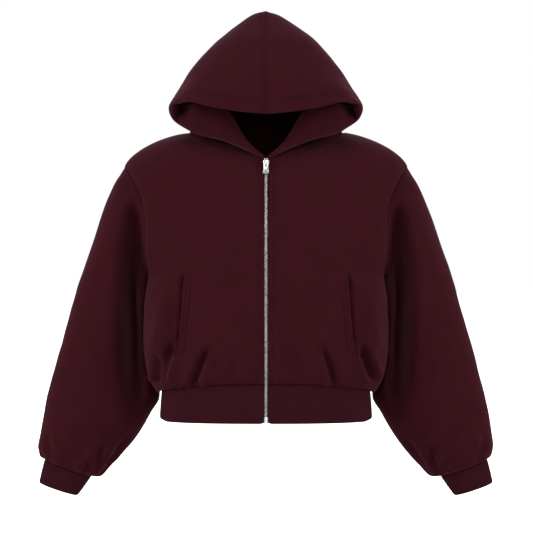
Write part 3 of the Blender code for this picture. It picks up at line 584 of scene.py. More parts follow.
# How much a pattern or a painted shade adds to a colour or a roughness, and what it adds to
shading = {
    # painted shade in the grooves between knitted loops
    "knit": (0.06, 0.97),
    "patches": (0.30, 0.85),
    "flecks": (0.34, 0.83),
    # painted shade in the furrows along stitches
    "furrows": (-0.16, 1.0),
    "wear": (0.30, 0.82),
    "rubbing": (0.25, 0.16),
    "floor": (0.01, 0.995),
}


def makeKnitGroup():
    # Rows of knitted loops over the cloth's own coordinates, with painted shade that darkens the colour
    # where the loops are low
    inputs = {"Coordinates": "Vector", "Wales per metre": 900.0, "Courses per metre": 1000.0}
    group, given = startGroup("knitLoops", "Shader", inputs)
    split = addNode(group, "ShaderNodeSeparateXYZ", {0: given["Coordinates"]}).outputs
    u = mathNode(group, "MULTIPLY", split["X"], given["Wales per metre"])
    v = mathNode(group, "MULTIPLY", split["Y"], given["Courses per metre"])
    wale = mathNode(group, "ABSOLUTE", mathNode(group, "SUBTRACT", mathNode(group, "FRACT", u), 0.5))
    lean = mathNode(group, "MULTIPLY_ADD", wale, 1.2, v)
    loop = mathNode(group, "SINE", mathNode(group, "MULTIPLY", lean, 2 * math.pi))
    ridge = mathNode(group, "SINE", mathNode(group, "MULTIPLY", wale, 2 * math.pi))
    height = mathNode(group, "MULTIPLY_ADD", loop, 0.3, ridge)
    # painted shade: the colour is darker where the loops are low, in the grooves between them
    shade = mathNode(group, "MULTIPLY_ADD", height, *shading["knit"])
    return finishGroup(group, Height=height, Shade=shade)


def makeNapGroup():
    # Brushed fibres: a fine uneven nap and soft patches where it lies another way
    inputs = {"Coordinates": "Vector", "Nap scale": 1100.0, "Patch scale": 22.0, "Speck scale": 420.0}
    group, given = startGroup("brushedNap", "Shader", inputs)
    fine = noiseNode(group, given["Coordinates"], given["Nap scale"], 3.0, 0.65)
    wide = noiseNode(group, given["Coordinates"], given["Patch scale"], 4.0, 0.6)
    specks = noiseNode(group, given["Coordinates"], given["Speck scale"], 2.0, 0.5)
    patches = mathNode(group, "MULTIPLY_ADD", wide, *shading["patches"])
    flecks = mathNode(group, "MULTIPLY_ADD", fine, *shading["flecks"])
    height = mathNode(group, "MULTIPLY_ADD", specks, 0.5, fine)
    return finishGroup(group, Height=height, Shade=mathNode(group, "MULTIPLY", patches, flecks))


def makeWearGroup():
    # Brushed and slightly rubbed metal
    inputs = {"Coordinates": "Vector", "Grain scale": 1500.0, "Wear scale": 160.0}
    group, given = startGroup("rubbedMetal", "Shader", inputs)
    grain = noiseNode(group, given["Coordinates"], given["Grain scale"], 3.0)
    wide = noiseNode(group, given["Coordinates"], given["Wear scale"], 3.0)
    shade = mathNode(group, "MULTIPLY_ADD", wide, *shading["wear"])
    roughness = mathNode(group, "MULTIPLY_ADD", wide, *shading["rubbing"])
    return finishGroup(group, Height=grain, Shade=shade, Roughness=roughness)


def makeSeamGroup():
    # Furrows along rows of stitches, from an attribute: a pair of rows in X and in Z, one row in Y. Their
    # shade is painted shade, darker in the furrows
    inputs = {"Rows": "Vector", "Half gap": 0.0032, "Furrow width": 0.0013}
    group, given = startGroup("seamFurrows", "Shader", inputs)
    split = addNode(group, "ShaderNodeSeparateXYZ", {0: given["Rows"]}).outputs
    furrows = []
    for axis in "XYZ":
        away = split[axis]
        if axis != "Y":
            away = mathNode(group, "SUBTRACT", mathNode(group, "ABSOLUTE", away), given["Half gap"])
        share = mathNode(group, "DIVIDE", away, given["Furrow width"])
        square = mathNode(group, "MULTIPLY", share, share)
        furrows.append(mathNode(group, "POWER", math.e, mathNode(group, "MULTIPLY", square, -1.0)))
    deepest = mathNode(group, "MAXIMUM", mathNode(group, "MAXIMUM", *furrows[:2]), furrows[2])
    height = mathNode(group, "SUBTRACT", 1.0, deepest)
    # painted shade: the colour is darker in the furrows along the stitches
    shade = mathNode(group, "MULTIPLY_ADD", deepest, *shading["furrows"])
    return finishGroup(group, Height=height, Shade=shade)


knitLoops = makeKnitGroup()
brushedNap = makeNapGroup()
rubbedMetal = makeWearGroup()
seamFurrows = makeSeamGroup()

# Colour, loops to the metre across and along, depth of the loops and of the nap, sheen
clothLook = {
    "fleece": ((0.0360, 0.0054, 0.0092), 870, 1050, 0.12 * mm, 0.35 * mm, 0.12),
    "ribKnit": ((0.0400, 0.0074, 0.0118), 700, 900, 0.15 * mm, 0.25 * mm, 0.09),
    "zipTape": ((0.0400, 0.0056, 0.0096), 1600, 1600, 0.08 * mm, 0.05 * mm, 0.05),
    "thread": ((0.0560, 0.0100, 0.0160), 2500, 2500, 0.04 * mm, 0.03 * mm, 0.1),
}
surface = {
    "roughness": 0.95,
    "shine": 0.03,
    "sheenTint": (0.80, 0.30, 0.38, 1),
    "sheenRoughness": 0.45,
    "knitStrength": 0.6,
    "napStrength": 0.7,
    "seamDepth": 0.9 * mm,
}
metalLook = {"colour": (0.72, 0.70, 0.66), "scratchDepth": 0.02 * mm, "scratches": 0.5}


def startMaterial(name):
    material = bpy.data.materials.new(name)
    material.use_nodes = True
    tree = material.node_tree
    return material, tree, addNode(tree, "ShaderNodeTexCoord", {}).outputs["Object"]


def setShader(tree, **values):
    shader = tree.nodes["Principled BSDF"]
    for name, value in values.items():
        socket = shader.inputs[name.replace("_", " ")]
        if isinstance(value, bpy.types.NodeSocket):
            tree.links.new(value, socket)
        else:
            socket.default_value = value


def shaded(tree, colour, *shades):
    for shade in shades:
        inputs = {0: colour, "Scale": shade}
        colour = addNode(tree, "ShaderNodeVectorMath", inputs, operation="SCALE").outputs[0]
    return colour


def clothMaterial(name):
    colour, wales, courses, knitDepth, napDepth, sheen = clothLook[name]
    material, tree, coordinates = startMaterial(name)
    weave = addNode(tree, "ShaderNodeUVMap", {}, uv_map="cloth").outputs[0]
    inputs = {"Coordinates": weave, "Wales per metre": wales, "Courses per metre": courses}
    knit = addNode(tree, "ShaderNodeGroup", inputs, node_tree=knitLoops).outputs
    nap = addNode(tree, "ShaderNodeGroup", {0: coordinates}, node_tree=brushedNap).outputs
    rows = addNode(tree, "ShaderNodeAttribute", {}, attribute_name="seamRows").outputs["Vector"]
    furrow = addNode(tree, "ShaderNodeGroup", {0: rows}, node_tree=seamFurrows).outputs
    normal = bumpNode(tree, knit["Height"], knitDepth, surface["knitStrength"])
    normal = bumpNode(tree, nap["Height"], napDepth, surface["napStrength"], normal)
    normal = bumpNode(tree, furrow["Height"], surface["seamDepth"], 1.0, normal)
    # The base colour holds painted shade in the knit's grooves and in the stitch furrows, and the nap's own
    # uneven tone
    setShader(
        tree,
        Base_Color=shaded(tree, colour, *(part["Shade"] for part in (knit, nap, furrow))),
        Normal=normal,
        Roughness=surface["roughness"],
        Specular_IOR_Level=surface["shine"],
        Sheen_Weight=sheen,
        Sheen_Roughness=surface["sheenRoughness"],
        Sheen_Tint=surface["sheenTint"],
    )
    return material


def metalMaterial(name):
    material, tree, coordinates = startMaterial(name)
    wear = addNode(tree, "ShaderNodeGroup", {0: coordinates}, node_tree=rubbedMetal).outputs
    setShader(
        tree,
        Base_Color=shaded(tree, metalLook["colour"], wear["Shade"]),
        Roughness=wear["Roughness"],
        Metallic=1.0,
        Normal=bumpNode(tree, wear["Height"], metalLook["scratchDepth"], metalLook["scratches"]),
    )
    return material


fleece, ribKnit, zipTape, thread = (clothMaterial(name) for name in clothLook)
zipMetal = metalMaterial("zipMetal")
print("materials made")

# Body
bodySection = {
    "points": 240,
    "crowding": 1.3,  # above 1 the points lie closer at the middle
    "ridge": (6, 0.0567),  # it rises beside the armhole: its power, and its height before it is made 1
}


def edgeDense(count):
    # Shares of a row's length, closer together at its two ends
    share = np.linspace(0, 1, count + 1)
    return share - cloth["edgeDraw"] * np.sin(2 * math.pi * share) / (2 * math.pi)


def bodyRow(inner, outer, full, fall, roll):
    turn = np.linspace(0, 1, bodySection["points"]) ** bodySection["crowding"] * math.pi / 2
    across = np.sin(turn) ** (2 / full)
    depth = np.clip(np.cos(turn), 0, 1) ** (2 / full)
    share = turn / (math.pi / 2)
    power, peak = bodySection["ridge"]
    ridge = share**power * (1 - share) / peak
    x = inner[0] + (outer[0] - inner[0]) * across + roll * ridge
    y = outer[1] + (inner[1] - outer[1]) * depth
    z = inner[2] + (outer[2] - inner[2]) * (1 - np.clip(1 - across**fall, 0, 1) ** (1 / fall))
    return atShares(np.stack([x, y, z], 1), edgeDense(cloth["columns"]))


def halfBody(rows, armhole, innerX, neckLine):
    steps = lowerSteps + [cloth["armSteps"]] * (neckRow - underarmRow)
    fine = smoothRows(rows, steps)
    side = smoothRows(inMetres(sideRows), lowerSteps)
    arms = fine[len(side) :, 2]
    outer = np.vstack([side, alongCurve(armhole, arms)])
    grid = []
    for (y, z, _, full, fall, roll), outerPoint in zip(fine, outer):
        grid.append(bodyRow((innerX, y * mm, z * mm), outerPoint, full, fall, roll * mm))
    yokeArms = np.linspace(rows[-1][2], 1, len(neckLine))[1:]
    for inner, outerPoint in zip(neckLine[1:], alongCurve(armhole, yokeArms)):
        grid.append(bodyRow(inner, outerPoint, yoke["full"], yoke["fall"], 0))
    return np.array(grid), np.concatenate([[0], arms, yokeArms]), len(side) - 1


def foldDepth(points, normals, side):
    # How deep the folds seen from one side press the cloth in
    beyond, over = foldShape["facing"]
    facing = softStep((normals[:, 1] * (-1 if side == "front" else 1) + beyond) / over)
    depth = np.zeros(len(points))
    for x1, z1, x2, z2, width, deep, bow in folds[side]:
        start = np.array([x1, z1]) * mm
        run = np.array([x2, z2]) * mm - start
        length = np.linalg.norm(run)
        at = points[:, [0, 2]] - start
        share = at @ run / length**2
        across = (at[:, 0] * run[1] - at[:, 1] * run[0]) / length
        across = (across - 4 * bow * mm * share * (1 - share)) / (width * mm)
        depth += deep * mm * trough(across) * alongFold(share, *foldShape["body"])
    return depth * facing


def gatherDepth(points, side):
    # Small uneven gathers that run up from the hem seam
    level, reach, pitch, deep = inMetres(gathers[side][:4])
    seed = gathers[side][4]
    turn = np.arctan2(points[:, 1], points[:, 0])
    around = np.hypot(points[:, 0], points[:, 1] * gatherShape["deeper"]) * turn
    wander = gatherShape["wander"] * unevenness(points, gatherShape["wanderSize"], seed)
    ripple = np.sin(2 * math.pi * around / pitch + wander + np.sin(turn * 7 + seed))
    even, uneven = gatherShape["strength"]
    strength = even + uneven * unevenness(points, gatherShape["strengthSize"], seed + 1)
    above = (points[:, 2] - level) / reach
    return deep * ripple * strength * np.exp(-np.clip(above, 0, None) ** 2 * gatherShape["fade"])


def bodyDepth(panel, side):
    points = panel.points
    depth = foldDepth(points, panel.normals(), side) + gatherDepth(points, side)
    return depth + unevenDepth(points, side, waveSeeds[side])


def press(panel, depth, seams, fade):
    # Moves the cloth in by that depth, but not at its seams
    panel.points = panel.points - panel.normals() * (depth * softStep(panel.away(*seams) / fade))[:, None]


stationSteps = [2 * cloth["yokeSteps"]] * (len(neckStations) - 1)
neckLine = smoothRows(inMetres(neckStations), stationSteps)
cornerColumn = 2 * cloth["yokeSteps"] * cornerStation
frontGrid, frontArms, underarm = halfBody(
    frontBody, armholeFront, cloth["frontEdge"] * mm, neckLine[: cornerColumn + 1]
)
backGrid, backArms, _ = halfBody(backBody, armholeBack, 0.0, neckLine[: cornerColumn - 1 : -1])
neckStart = underarm + cloth["armSteps"] * (neckRow - underarmRow)

seamLines = {
    "hemFront": frontGrid[0],
    "sideFront": frontGrid[: underarm + 1, -1],
    "armFront": frontGrid[underarm:, -1],
    "shoulder": frontGrid[-1],
    "zip": frontGrid[: neckStart + 1, 0],
    "neckFront": frontGrid[neckStart:, 0],
    "hemBack": backGrid[0],
    "armBack": backGrid[underarm:, -1],
    "neckBack": backGrid[neckStart:, 0],
}

# Welt: level, inner line, line of the slit, how far the slit's edge stands off
weltRows = [
    (-262, 139.5, 153, 0.3), (-290, 142, 155, 1.6), (-320, 145, 157, 2.4), (-350, 148, 159.5, 2.2),
    (-380, 151, 163, 1.2), (-408, 154.5, 167.5, 0.3),
]
welt = {
    "rest": -0.9 * mm,
    "wall": 2.6 * mm,
    "rows": 48,
    "columns": 9,
    "slopeFrom": 12 * mm,  # it goes on in the cloth's slope over so much inside the inner line
    "slitBeside": 1.3,  # from the welt's edge to the middle of the slit, mm
    "groove": 13 * mm,
    "grooveWidth": 2.2 * mm,
    "grooveReach": 7 * mm,
    "grooveEnd": 12 * mm,
    "grooveDraw": 0.6,  # the smaller, the closer the points lie along the slit
    "grooveFacing": 0.3,  # points slide along the cloth where it faces front or back more than this
}
topstitch = {
    "zip": (2.9 * mm, 9.3 * mm),
    "neck": 4.6 * mm,
    "brim": (19.8 * mm, 26.2 * mm),
    "centre": (2.9 * mm, 9.3 * mm),
    "welt": 6.5 * mm,
    "stitch": 2.6 * mm,
    "gap": 0.9 * mm,
    "thread": 0.3 * mm,
    "lift": -0.1 * mm,
    "lineStep": 2.5 * mm,  # between the points of a row's line
    "hemStep": 3 * mm,
    "hemLevels": (-0.4665, -0.532, -0.003),  # from, to and step, in metres
    "tacks": (-1.2, -0.4, 0.4, 1.2),  # levels of a bar tack's threads, mm
    "tackInside": 2.4,  # from the slit's end to the middle of the tack, mm
    "tackReach": (-4.5, 2.5),  # from the slit's line, mm
    "tackLift": 2.2 * mm,
}


def drawToSlit(panel, slit):
    # Draws the cloth's points together along the slit, so that its groove can be narrow
    points, normals = panel.points, panel.normals()
    off = points[:, 0] - np.interp(-points[:, 2], -slit[:, 1], slit[:, 0])
    share = np.clip(np.abs(off) / welt["grooveReach"], 0, 1)
    fromEnds = [points[:, 2] - slit[-1, 1], slit[0, 1] - points[:, 2]]
    low, high = (softStep(away / welt["grooveEnd"] + 1) for away in fromEnds)
    slide = off * (share ** welt["grooveDraw"] - 1) * (low * high) * (points[:, 1] < 0)
    ahead = np.where(np.abs(normals[:, 1]) > welt["grooveFacing"], normals[:, 1], 1)
    points[:, 1] -= slide * normals[:, 0] / ahead
    points[:, 0] += slide


def grooveDepth(points, slit):
    beside = distanceTo(np.insert(points[:, [0, 2]], 1, 0, axis=1), np.insert(slit, 1, 0, axis=1))
    return welt["groove"] * np.exp(-((beside / welt["grooveWidth"]) ** 2)) * (points[:, 1] < 0)


def makeFront(side, sign):
    panel = Panel("front_" + side, frontGrid * (sign, 1, 1), flips=[sign < 0])
    lines = {key: line * (sign, 1, 1) for key, line in seamLines.items()}
    slit = np.array([(sign * (row[2] + welt["slitBeside"]), row[0]) for row in weltRows]) * mm
    drawToSlit(panel, slit)
    depth = bodyDepth(panel, "front") + grooveDepth(panel.points, slit)
    keys = ("hemFront", "sideFront", "armFront", "shoulder", "zip", "neckFront")
    press(panel, depth, [lines[key] for key in keys], cloth["seamFade"])
    pair = panel.away(lines["zip"]) - sum(topstitch["zip"]) / 2
    panel.setRows(pair, panel.away(lines["neckFront"]) - topstitch["neck"])
    return panel


def makeBack():
    panel = Panel("back", backGrid, mirrored(backGrid), flips=[True, False])
    half = [seamLines[key] for key in ("neckBack", "hemBack", "sideFront", "armBack", "shoulder")]
    both = half + [mirrored(line) for line in half]
    press(panel, bodyDepth(panel, "back"), both, cloth["seamFade"])
    panel.setRows(single=panel.away(half[0], mirrored(half[0])) - topstitch["neck"])
    return panel


fronts = {side: makeFront(side, sign) for side, sign in sides.items()}
backPanel = makeBack()
print("body panels cut:", frontGrid.shape, backGrid.shape)

# Folds on a sleeve: from and to, each as millimetres down the sleeve and a turn in degrees, then half
# width, depth. The turn is 0 at the outer side, 90 in front, 180 at the inner side, 270 behind.
sleeveFolds = [
    (30, 150, 150, 172, 16, 5.0), (60, 128, 190, 160, 22, 4.0), (40, 205, 160, 186, 18, 5.0),
    (90, 228, 230, 205, 22, 4.2), (300, 150, 400, 168, 18, 3.6), (330, 196, 430, 178, 18, 4.0),
    (440, 62, 500, 108, 10, 5.0), (478, 108, 524, 133, 7, 8.0), (512, 104, 530, 122, 5, 4.5),
    (430, 96, 470, 128, 12, 4.0), (470, 34, 516, 52, 9, 4.5), (455, 140, 515, 152, 9, 5.0),
    (448, 210, 512, 222, 11, 4.6), (440, 262, 508, 250, 11, 5.0), (458, 300, 514, 306, 10, 4.4),
    (475, 336, 518, 340, 10, 3.4), (380, 60, 470, 84, 20, 2.4), (250, 250, 360, 232, 26, 2.8),
    (180, 300, 300, 282, 30, 2.2),
]
sleeve = {
    "clear": 1.6 * mm,  # from the body
    "clearPasses": 4,
    "clearFacing": 0.4,  # only where the body faces outwards more than this
    "foldLength": 0.54,  # length of the sleeve that the folds' places are for
    "ripples": (11, 14, 17, 9),  # around the cuff
    "rippleDepth": 1.0 * mm,
    "rippleLean": (0.6, 3),  # how far they shift, and how often round the cuff
    "rippleSeed": {-1: 7, 1: 8},
    "rippleReach": 34 * mm,
    "seamFade": 14 * mm,
    "cuffFade": 8 * mm,
    "apart": 0.35,  # the left sleeve's unevenness is read this far aside
    "evenBelow": 0.233,  # it stays even up to this x, against the body
    "evenFade": 16 * mm,
    "hollowSway": 2 * mm,  # of the middle of the hollow beside the body
    "hollowWaves": 17,
    "hollowTurns": (0.9, 0.5, math.pi - 0.02, 0.3),  # where it starts and over how much, and so its end
}


def ringPoints(row, turns):
    out = np.array(row[0:3]) * mm
    inner = np.array(row[3:6]) * mm
    front, back, full = row[6] * mm, row[7] * mm, row[8]
    middle, half = (out + inner) / 2, (out - inner) / 2
    c, s = np.cos(turns), np.sin(turns)
    reach = np.sign(c) * np.abs(c) ** (2 / full)
    bulge = np.abs(s) ** (2 / full) * np.where(s > 0, -front, back)
    return middle + half * reach[:, None] + np.outer(bulge, (0, 1, 0))


def clearOf(points, tree, gap):
    for _ in range(sleeve["clearPasses"]):
        for i, point in enumerate(points):
            spot, normal = tree.find_nearest(Vector(point))[:2]
            short = gap - (Vector(point) - spot).dot(normal)
            if short > 0 and normal.x > sleeve["clearFacing"]:
                points[i] = point + np.array((short / normal.x, 0, 0))
    return points


def panelTree(panel):
    return BVHTree.FromPolygons(panel.points.tolist(), panel.quads.tolist())


def sleeveGrid():
    armhole = np.vstack([frontGrid[underarm:, -1][::-1], backGrid[underarm:, -1][1:]])
    turns = math.pi * np.concatenate([1 - frontArms[::-1], 1 + backArms[1:]])
    tree = panelTree(Panel("shell", frontGrid, backGrid, flips=[False, True]))
    rings = [armhole]
    for i, row in enumerate(sleeveRows):
        rings.append(clearOf(ringPoints(row, turns), tree, sleeve["clear"] * min(1, (i + 1) / 2)))
    grid = smoothRows(rings, sleeveSteps)
    grid[:, -1] = grid[:, 0]
    return grid, turns


sleeveRings, sleeveTurns = sleeveGrid()
sleeveRun = runLengths(sleeveRings.mean(1))  # down the middle of the sleeve


def sleeveFoldDepth(down, turn):
    depth = np.zeros(turn.shape)
    scale = sleeveRun[-1] / sleeve["foldLength"]
    radius = np.linalg.norm(np.diff(sleeveRings, axis=1), axis=2).sum(1)[:, None] / (2 * math.pi)
    for down1, turn1, down2, turn2, width, deep in sleeveFolds:
        a = np.array([down1 * mm * scale, math.radians(turn1)])
        b = np.array([down2 * mm * scale, math.radians(turn2)])
        runDown, runTurn = b - a
        x = down - a[0]
        y = (np.mod(turn - a[1] + math.pi, 2 * math.pi) - math.pi) * radius
        across = runTurn * radius
        length = np.sqrt(runDown**2 + across**2)
        share = (x * runDown + y * across) / length**2
        away = (x * across - y * runDown) / length / (width * mm)
        depth += deep * mm * trough(away) * alongFold(share, *foldShape["sleeve"])
    return depth


def valleyDepth(grid, down, turn, seed):
    # The long hollow at the front of the sleeve, beside the body
    levels, places, widths, depths = inMetres(valleyRows).T
    height = grid[..., 2]
    sway = sleeve["hollowSway"] * np.sin(down * sleeve["hollowWaves"] + seed)
    middle = np.interp(height, levels, places) + sway
    spot = (grid[..., 0] - middle) / np.interp(height, levels, widths)
    fromSeam = softStep(down / sleeve["seamFade"])
    start, rise, end, fall = sleeve["hollowTurns"]
    inFront = fromSeam * softStep((turn - start) / rise) * softStep((end - turn) / fall)
    return np.interp(height, levels, depths) * inFront * np.exp(-(spot**2))


def makeSleeve(side, sign):
    grid = sleeveRings
    down = np.repeat(sleeveRun[:, None], grid.shape[1], 1)
    turn = np.repeat(sleeveTurns[None, :], len(grid), 0)
    depth = sleeveFoldDepth(down, turn)
    fromCuff = sleeveRun[-1] - down
    pick = np.random.default_rng(sleeve["rippleSeed"][sign])
    phases = pick.uniform(0, 2 * math.pi, len(sleeve["ripples"]))
    shift, often = sleeve["rippleLean"]
    lean = shift * np.sin(turn * often)
    ripple = sum(np.sin(turn * n + phase + lean) for n, phase in zip(sleeve["ripples"], phases))
    depth += sleeve["rippleDepth"] * ripple * np.exp(-((fromCuff / sleeve["rippleReach"]) ** 2))
    seed = waveSeeds["sleeve"][sign]
    shifted = grid.reshape(-1, 3) + (sleeve["apart"] * (sign > 0), 0, 0)
    depth += unevenDepth(shifted, "sleeve", seed).reshape(depth.shape)
    depth *= softStep(down / sleeve["seamFade"]) * softStep(fromCuff / sleeve["cuffFade"])
    panel = Panel("sleeve_" + side, grid)
    depthAt = panel.spread(grid, depth)
    valley = panel.spread(grid, valleyDepth(grid, down, turn, seed))
    beside = softStep((panel.points[:, 0] - sleeve["evenBelow"]) / sleeve["evenFade"])
    panel.points = panel.points - panel.normals() * (depthAt * beside)[:, None]
    panel.points[:, 1] += valley
    panel.setRows()
    if sign < 0:
        panel.mirror()
    return panel


sleeves = {side: makeSleeve(side, sign) for side, sign in sides.items()}
print("sleeves cut:", sleeveRings.shape)

# Folds on the hood: two ends as x, y, z, then half width and depth
hoodFolds = [
    ((60, -128, 112), (150, -60, 96), 24, 2.6), ((30, -112, 150), (110, -70, 140), 26, 2.2),
    ((96, -98, 18), (150, -80, 34), 12, 2.4), ((70, -98, 2), (120, -84, 20), 12, 2.2),
    ((160, -20, 44), (120, 80, 40), 14, 3.2), ((150, 20, 90), (60, 118, 84), 26, 3.2),
    ((140, 40, 120), (50, 120, 130), 30, 2.6), ((100, 84, 60), (20, 112, 56), 16, 3.0),
    ((90, 60, 180), (30, 100, 176), 26, 2.2),
]
hood = {
    "mouthHollow": (162, 56, 19, 18, 54),  # x, z, width, height, depth
    "cornerBlend": 12,  # columns over which the parts meet at the corner
    "bendFade": 6.0,  # rows
    "foldShift": 6 * mm,  # of the folds' middles on one half, down on the other
    "besideFold": 0.4,  # how much the cloth beside a fold stands up
    "seamFade": 10 * mm,
    "hollowColumns": 3,  # over which the mouth's hollow starts at the corner
    "hollowFront": (-0.05, 0.02),  # it starts in front of this y, over that much
}


def crownRing(row, columns):
    frontZ, frontY, sideZ, width, sideY, backZ, backY, full, corner = row
    cornerTurn = math.radians(corner)
    ahead = np.linspace(0, cornerTurn, columns + 1)
    behind = np.linspace(cornerTurn, math.pi, columns + 1)[1:]
    turns = np.concatenate([ahead, behind])
    s = np.clip(np.sin(turns), 0, 1) ** (2 / full)
    c = np.abs(np.cos(turns)) ** (2 / full)
    inFront = turns < math.pi / 2
    y = sideY + np.where(inFront, frontY - sideY, backY - sideY) * c
    z = sideZ + np.where(inFront, frontZ - sideZ, backZ - sideZ) * np.cos(turns) ** 2
    return np.stack([width * s, y, z], 1) * mm


def hoodColumns():
    rows = [neckLine]
    for stations in (underStations, lipStations, cheekStations, edgeStations):
        rows.append(smoothRows(inMetres(stations), stationSteps))
    brim = smoothRows(inMetres(brimStations), stationSteps[:cornerStation])
    crown = [crownRing(row, cornerColumn) for row in crownRows]
    corner = cornerColumn
    columns = np.arange(corner + 1)
    through = smoothRows(rows + crown, funnelSteps + crownSteps)
    mouthRow = sum(funnelSteps)
    lower = smoothRows([row[: corner + 1] for row in rows], funnelSteps)
    upper = smoothRows([brim] + [row[: corner + 1] for row in crown], crownSteps)
    width = hood["cornerBlend"]
    blend = softStep((columns - (corner - width)) / width)[None, :, None]
    lower = lower + (through[: mouthRow + 1, : corner + 1] - lower) * blend
    # The upper part runs from the brim; near the corner it takes the bend of the cloth below
    upperThrough = through[mouthRow:, : corner + 1]
    firstBend = (upperThrough - upperThrough[:1]) - (upper - upper[:1])
    near = np.exp(-np.arange(len(upper)) / hood["bendFade"])[:, None, None]
    upper = upper + firstBend * blend**4 * near
    upper[:, -1] = through[mouthRow:, corner]
    lower[:, -1] = through[: mouthRow + 1, corner]
    # The cheek's edge stands back from the brim beside the corner, so that there is a hollow
    x, z, width, height, deep = (value * mm for value in hood["mouthHollow"])
    fade = softStep((corner - columns) / hood["hollowColumns"])
    front, over = hood["hollowFront"]
    spot = ((lower[..., 0] - x) / width) ** 2 + ((lower[..., 2] - z) / height) ** 2
    lower[..., 1] += deep * np.exp(-spot) * fade * softStep((front - lower[..., 1]) / over)
    return lower, upper, through[:, corner:]


hoodLower, hoodUpper, hoodWhole = hoodColumns()
mouthLine = np.vstack([hoodLower[-1], hoodUpper[0][-2::-1]])


def makeHoodHalf(side, sign):
    panel = Panel("hood_" + side, hoodLower, hoodUpper, hoodWhole)
    cheek = np.ones(hoodLower.shape[:2])
    cheek[:, -1] = 0
    cheek = panel.spread(hoodLower, cheek)
    points = panel.points
    depth = np.zeros(len(points))
    for start, end, width, deep in hoodFolds:
        line = np.linspace(np.array(start) * mm, np.array(end) * mm, 9)
        line[:, 2] += sign * hood["foldShift"] * np.sin(np.linspace(0, math.pi, 9))
        depth += deep * mm * trough(distanceTo(points, line) / (width * mm), hood["besideFold"])
    depth += unevenDepth(points, "hood", waveSeeds["hood"][sign])
    centre = np.vstack([hoodUpper[:, 0], hoodWhole[::-1, -1]])
    press(panel, depth, [mouthLine, neckLine, centre], hood["seamFade"])
    brimAway = np.where(cheek > 0, 1.0, panel.away(hoodUpper[0]) - sum(topstitch["brim"]) / 2)
    centreAway = panel.away(centre) - (sum(topstitch["centre"]) / 2 if sign < 0 else 0)
    panel.setRows(brimAway, panel.away(neckLine) - topstitch["neck"], centreAway)
    if sign < 0:
        panel.mirror()
    return panel


hoods = {side: makeHoodHalf(side, sign) for side, sign in sides.items()}
print("hood cut")

panels = [*fronts.values(), backPanel, *sleeves.values(), *hoods.values()]
seamNormals = joinedNormals(panels)
pieces = {}
for panel in panels:
    wall = cloth["hoodWall"] if panel.name.startswith("hood") else cloth["bodyWall"]
    pieces[panel.name] = walled(panel, seamNormals[panel.name], wall, fleece)
print("walls made")

# Section of a ribbed band: share of its depth from the seam down, how far it stands out, and the
# share of the ribs' height there
bandSection = [
    (0.0, -1.8, 0.0), (0.012, -0.6, 0.3), (0.045, 0.1, 1.0), (0.15, 0.35, 1.0), (0.35, 0.5, 1.0),
    (0.6, 0.5, 1.0), (0.82, 0.3, 1.0), (0.93, 0.0, 1.0), (0.975, -0.6, 0.9), (0.996, -1.5, 0.6),
    (1.0, -2.4, 0.3), (0.996, -3.3, -0.2), (0.97, -4.2, -0.5), (0.9, -4.5, -0.6), (0.5, -4.5, -0.6),
    (0.1, -4.5, -0.6), (0.012, -4.2, -0.2), (0.0, -3.0, 0.0),
]


def ribbedBand(name, top, bottom, closed, axis):
    # Each line has pointsPerRib points to a rib; the ribs stand out on both sides of the band
    count = len(top)
    phase = np.cos(2 * math.pi * np.arange(count) / ribs["pointsPerRib"])
    wave = np.sign(phase) * np.abs(phase) ** ribs["roundness"]
    lift = ribs["height"] * (wave - 1) / 2
    rows = []
    for share, out, ribShare in bandSection:
        line = top + (bottom - top) * share
        ahead = np.roll(line, -1, axis=0)
        behind = np.roll(line, 1, axis=0)
        if not closed:
            ahead[-1], behind[0] = line[-1], line[0]
        rows.append(line + unit(np.cross(ahead - behind, axis)) * (out * mm + lift * ribShare)[:, None])
    rows = np.array(rows)
    section = len(rows)
    points = rows.reshape(-1, 3)
    faces, uvs = [], []
    run = runLengths(np.vstack([top, top[:1]]))
    depths = runLengths(np.vstack([rows[:, 0], rows[:1, 0]]))
    for i in range(section):
        j = (i + 1) % section
        for k in range(count if closed else count - 1):
            m = (k + 1) % count
            faces.append([i * count + k, j * count + k, j * count + m, i * count + m])
            low, high = depths[i : i + 2]
            uvs += [(run[k], -low), (run[k], -high), (run[k + 1], -high), (run[k + 1], -low)]
    if not closed:
        starts = np.arange(section) * count
        for ring in (starts[::-1].tolist(), (starts + count - 1).tolist()):
            points = np.vstack([points, points[ring].mean(0)])
            for i in range(section):
                faces.append([ring[i], ring[(i + 1) % section], len(points) - 1])
                uvs += [(0, 0), (0.001, 0), (0, 0.001)]
    return meshObject(name, points, faces, ribKnit, uvs)


def makeHem():
    half = np.vstack([frontGrid[0], backGrid[0][-2::-1]])
    seam = np.vstack([half, mirrored(half)[-2::-1]]) - (0, 0, cloth["seamGap"])
    ribCount = round(runLengths(seam)[-1] / ribs["pitch"])
    shares = np.linspace(0, 1, ribCount * ribs["pointsPerRib"] + 1)
    top = atShares(seam, shares)
    bottom = atShares(seam * (ribs["hemWidening"], 1, 0) + (0, 0, ribs["hemLevel"]), shares)
    bottom[[0, -1], 0] = top[[0, -1], 0]
    run = runLengths(bottom)
    corner = ribs["hemCorner"]
    short = np.clip(corner - np.minimum(run, run[-1] - run), 0, None)
    bottom[:, 2] += corner - np.sqrt(np.maximum(corner**2 - short**2, 0))
    aside = np.abs(bottom[:, 0]) / np.abs(bottom[:, 0]).max() - ribs["sideShare"]
    bottom[:, 2] += ribs["sideRise"] * softStep(aside / ribs["sideFade"])
    return ribbedBand("hem_rib_cloth", top, bottom, False, (0, 0, 1))


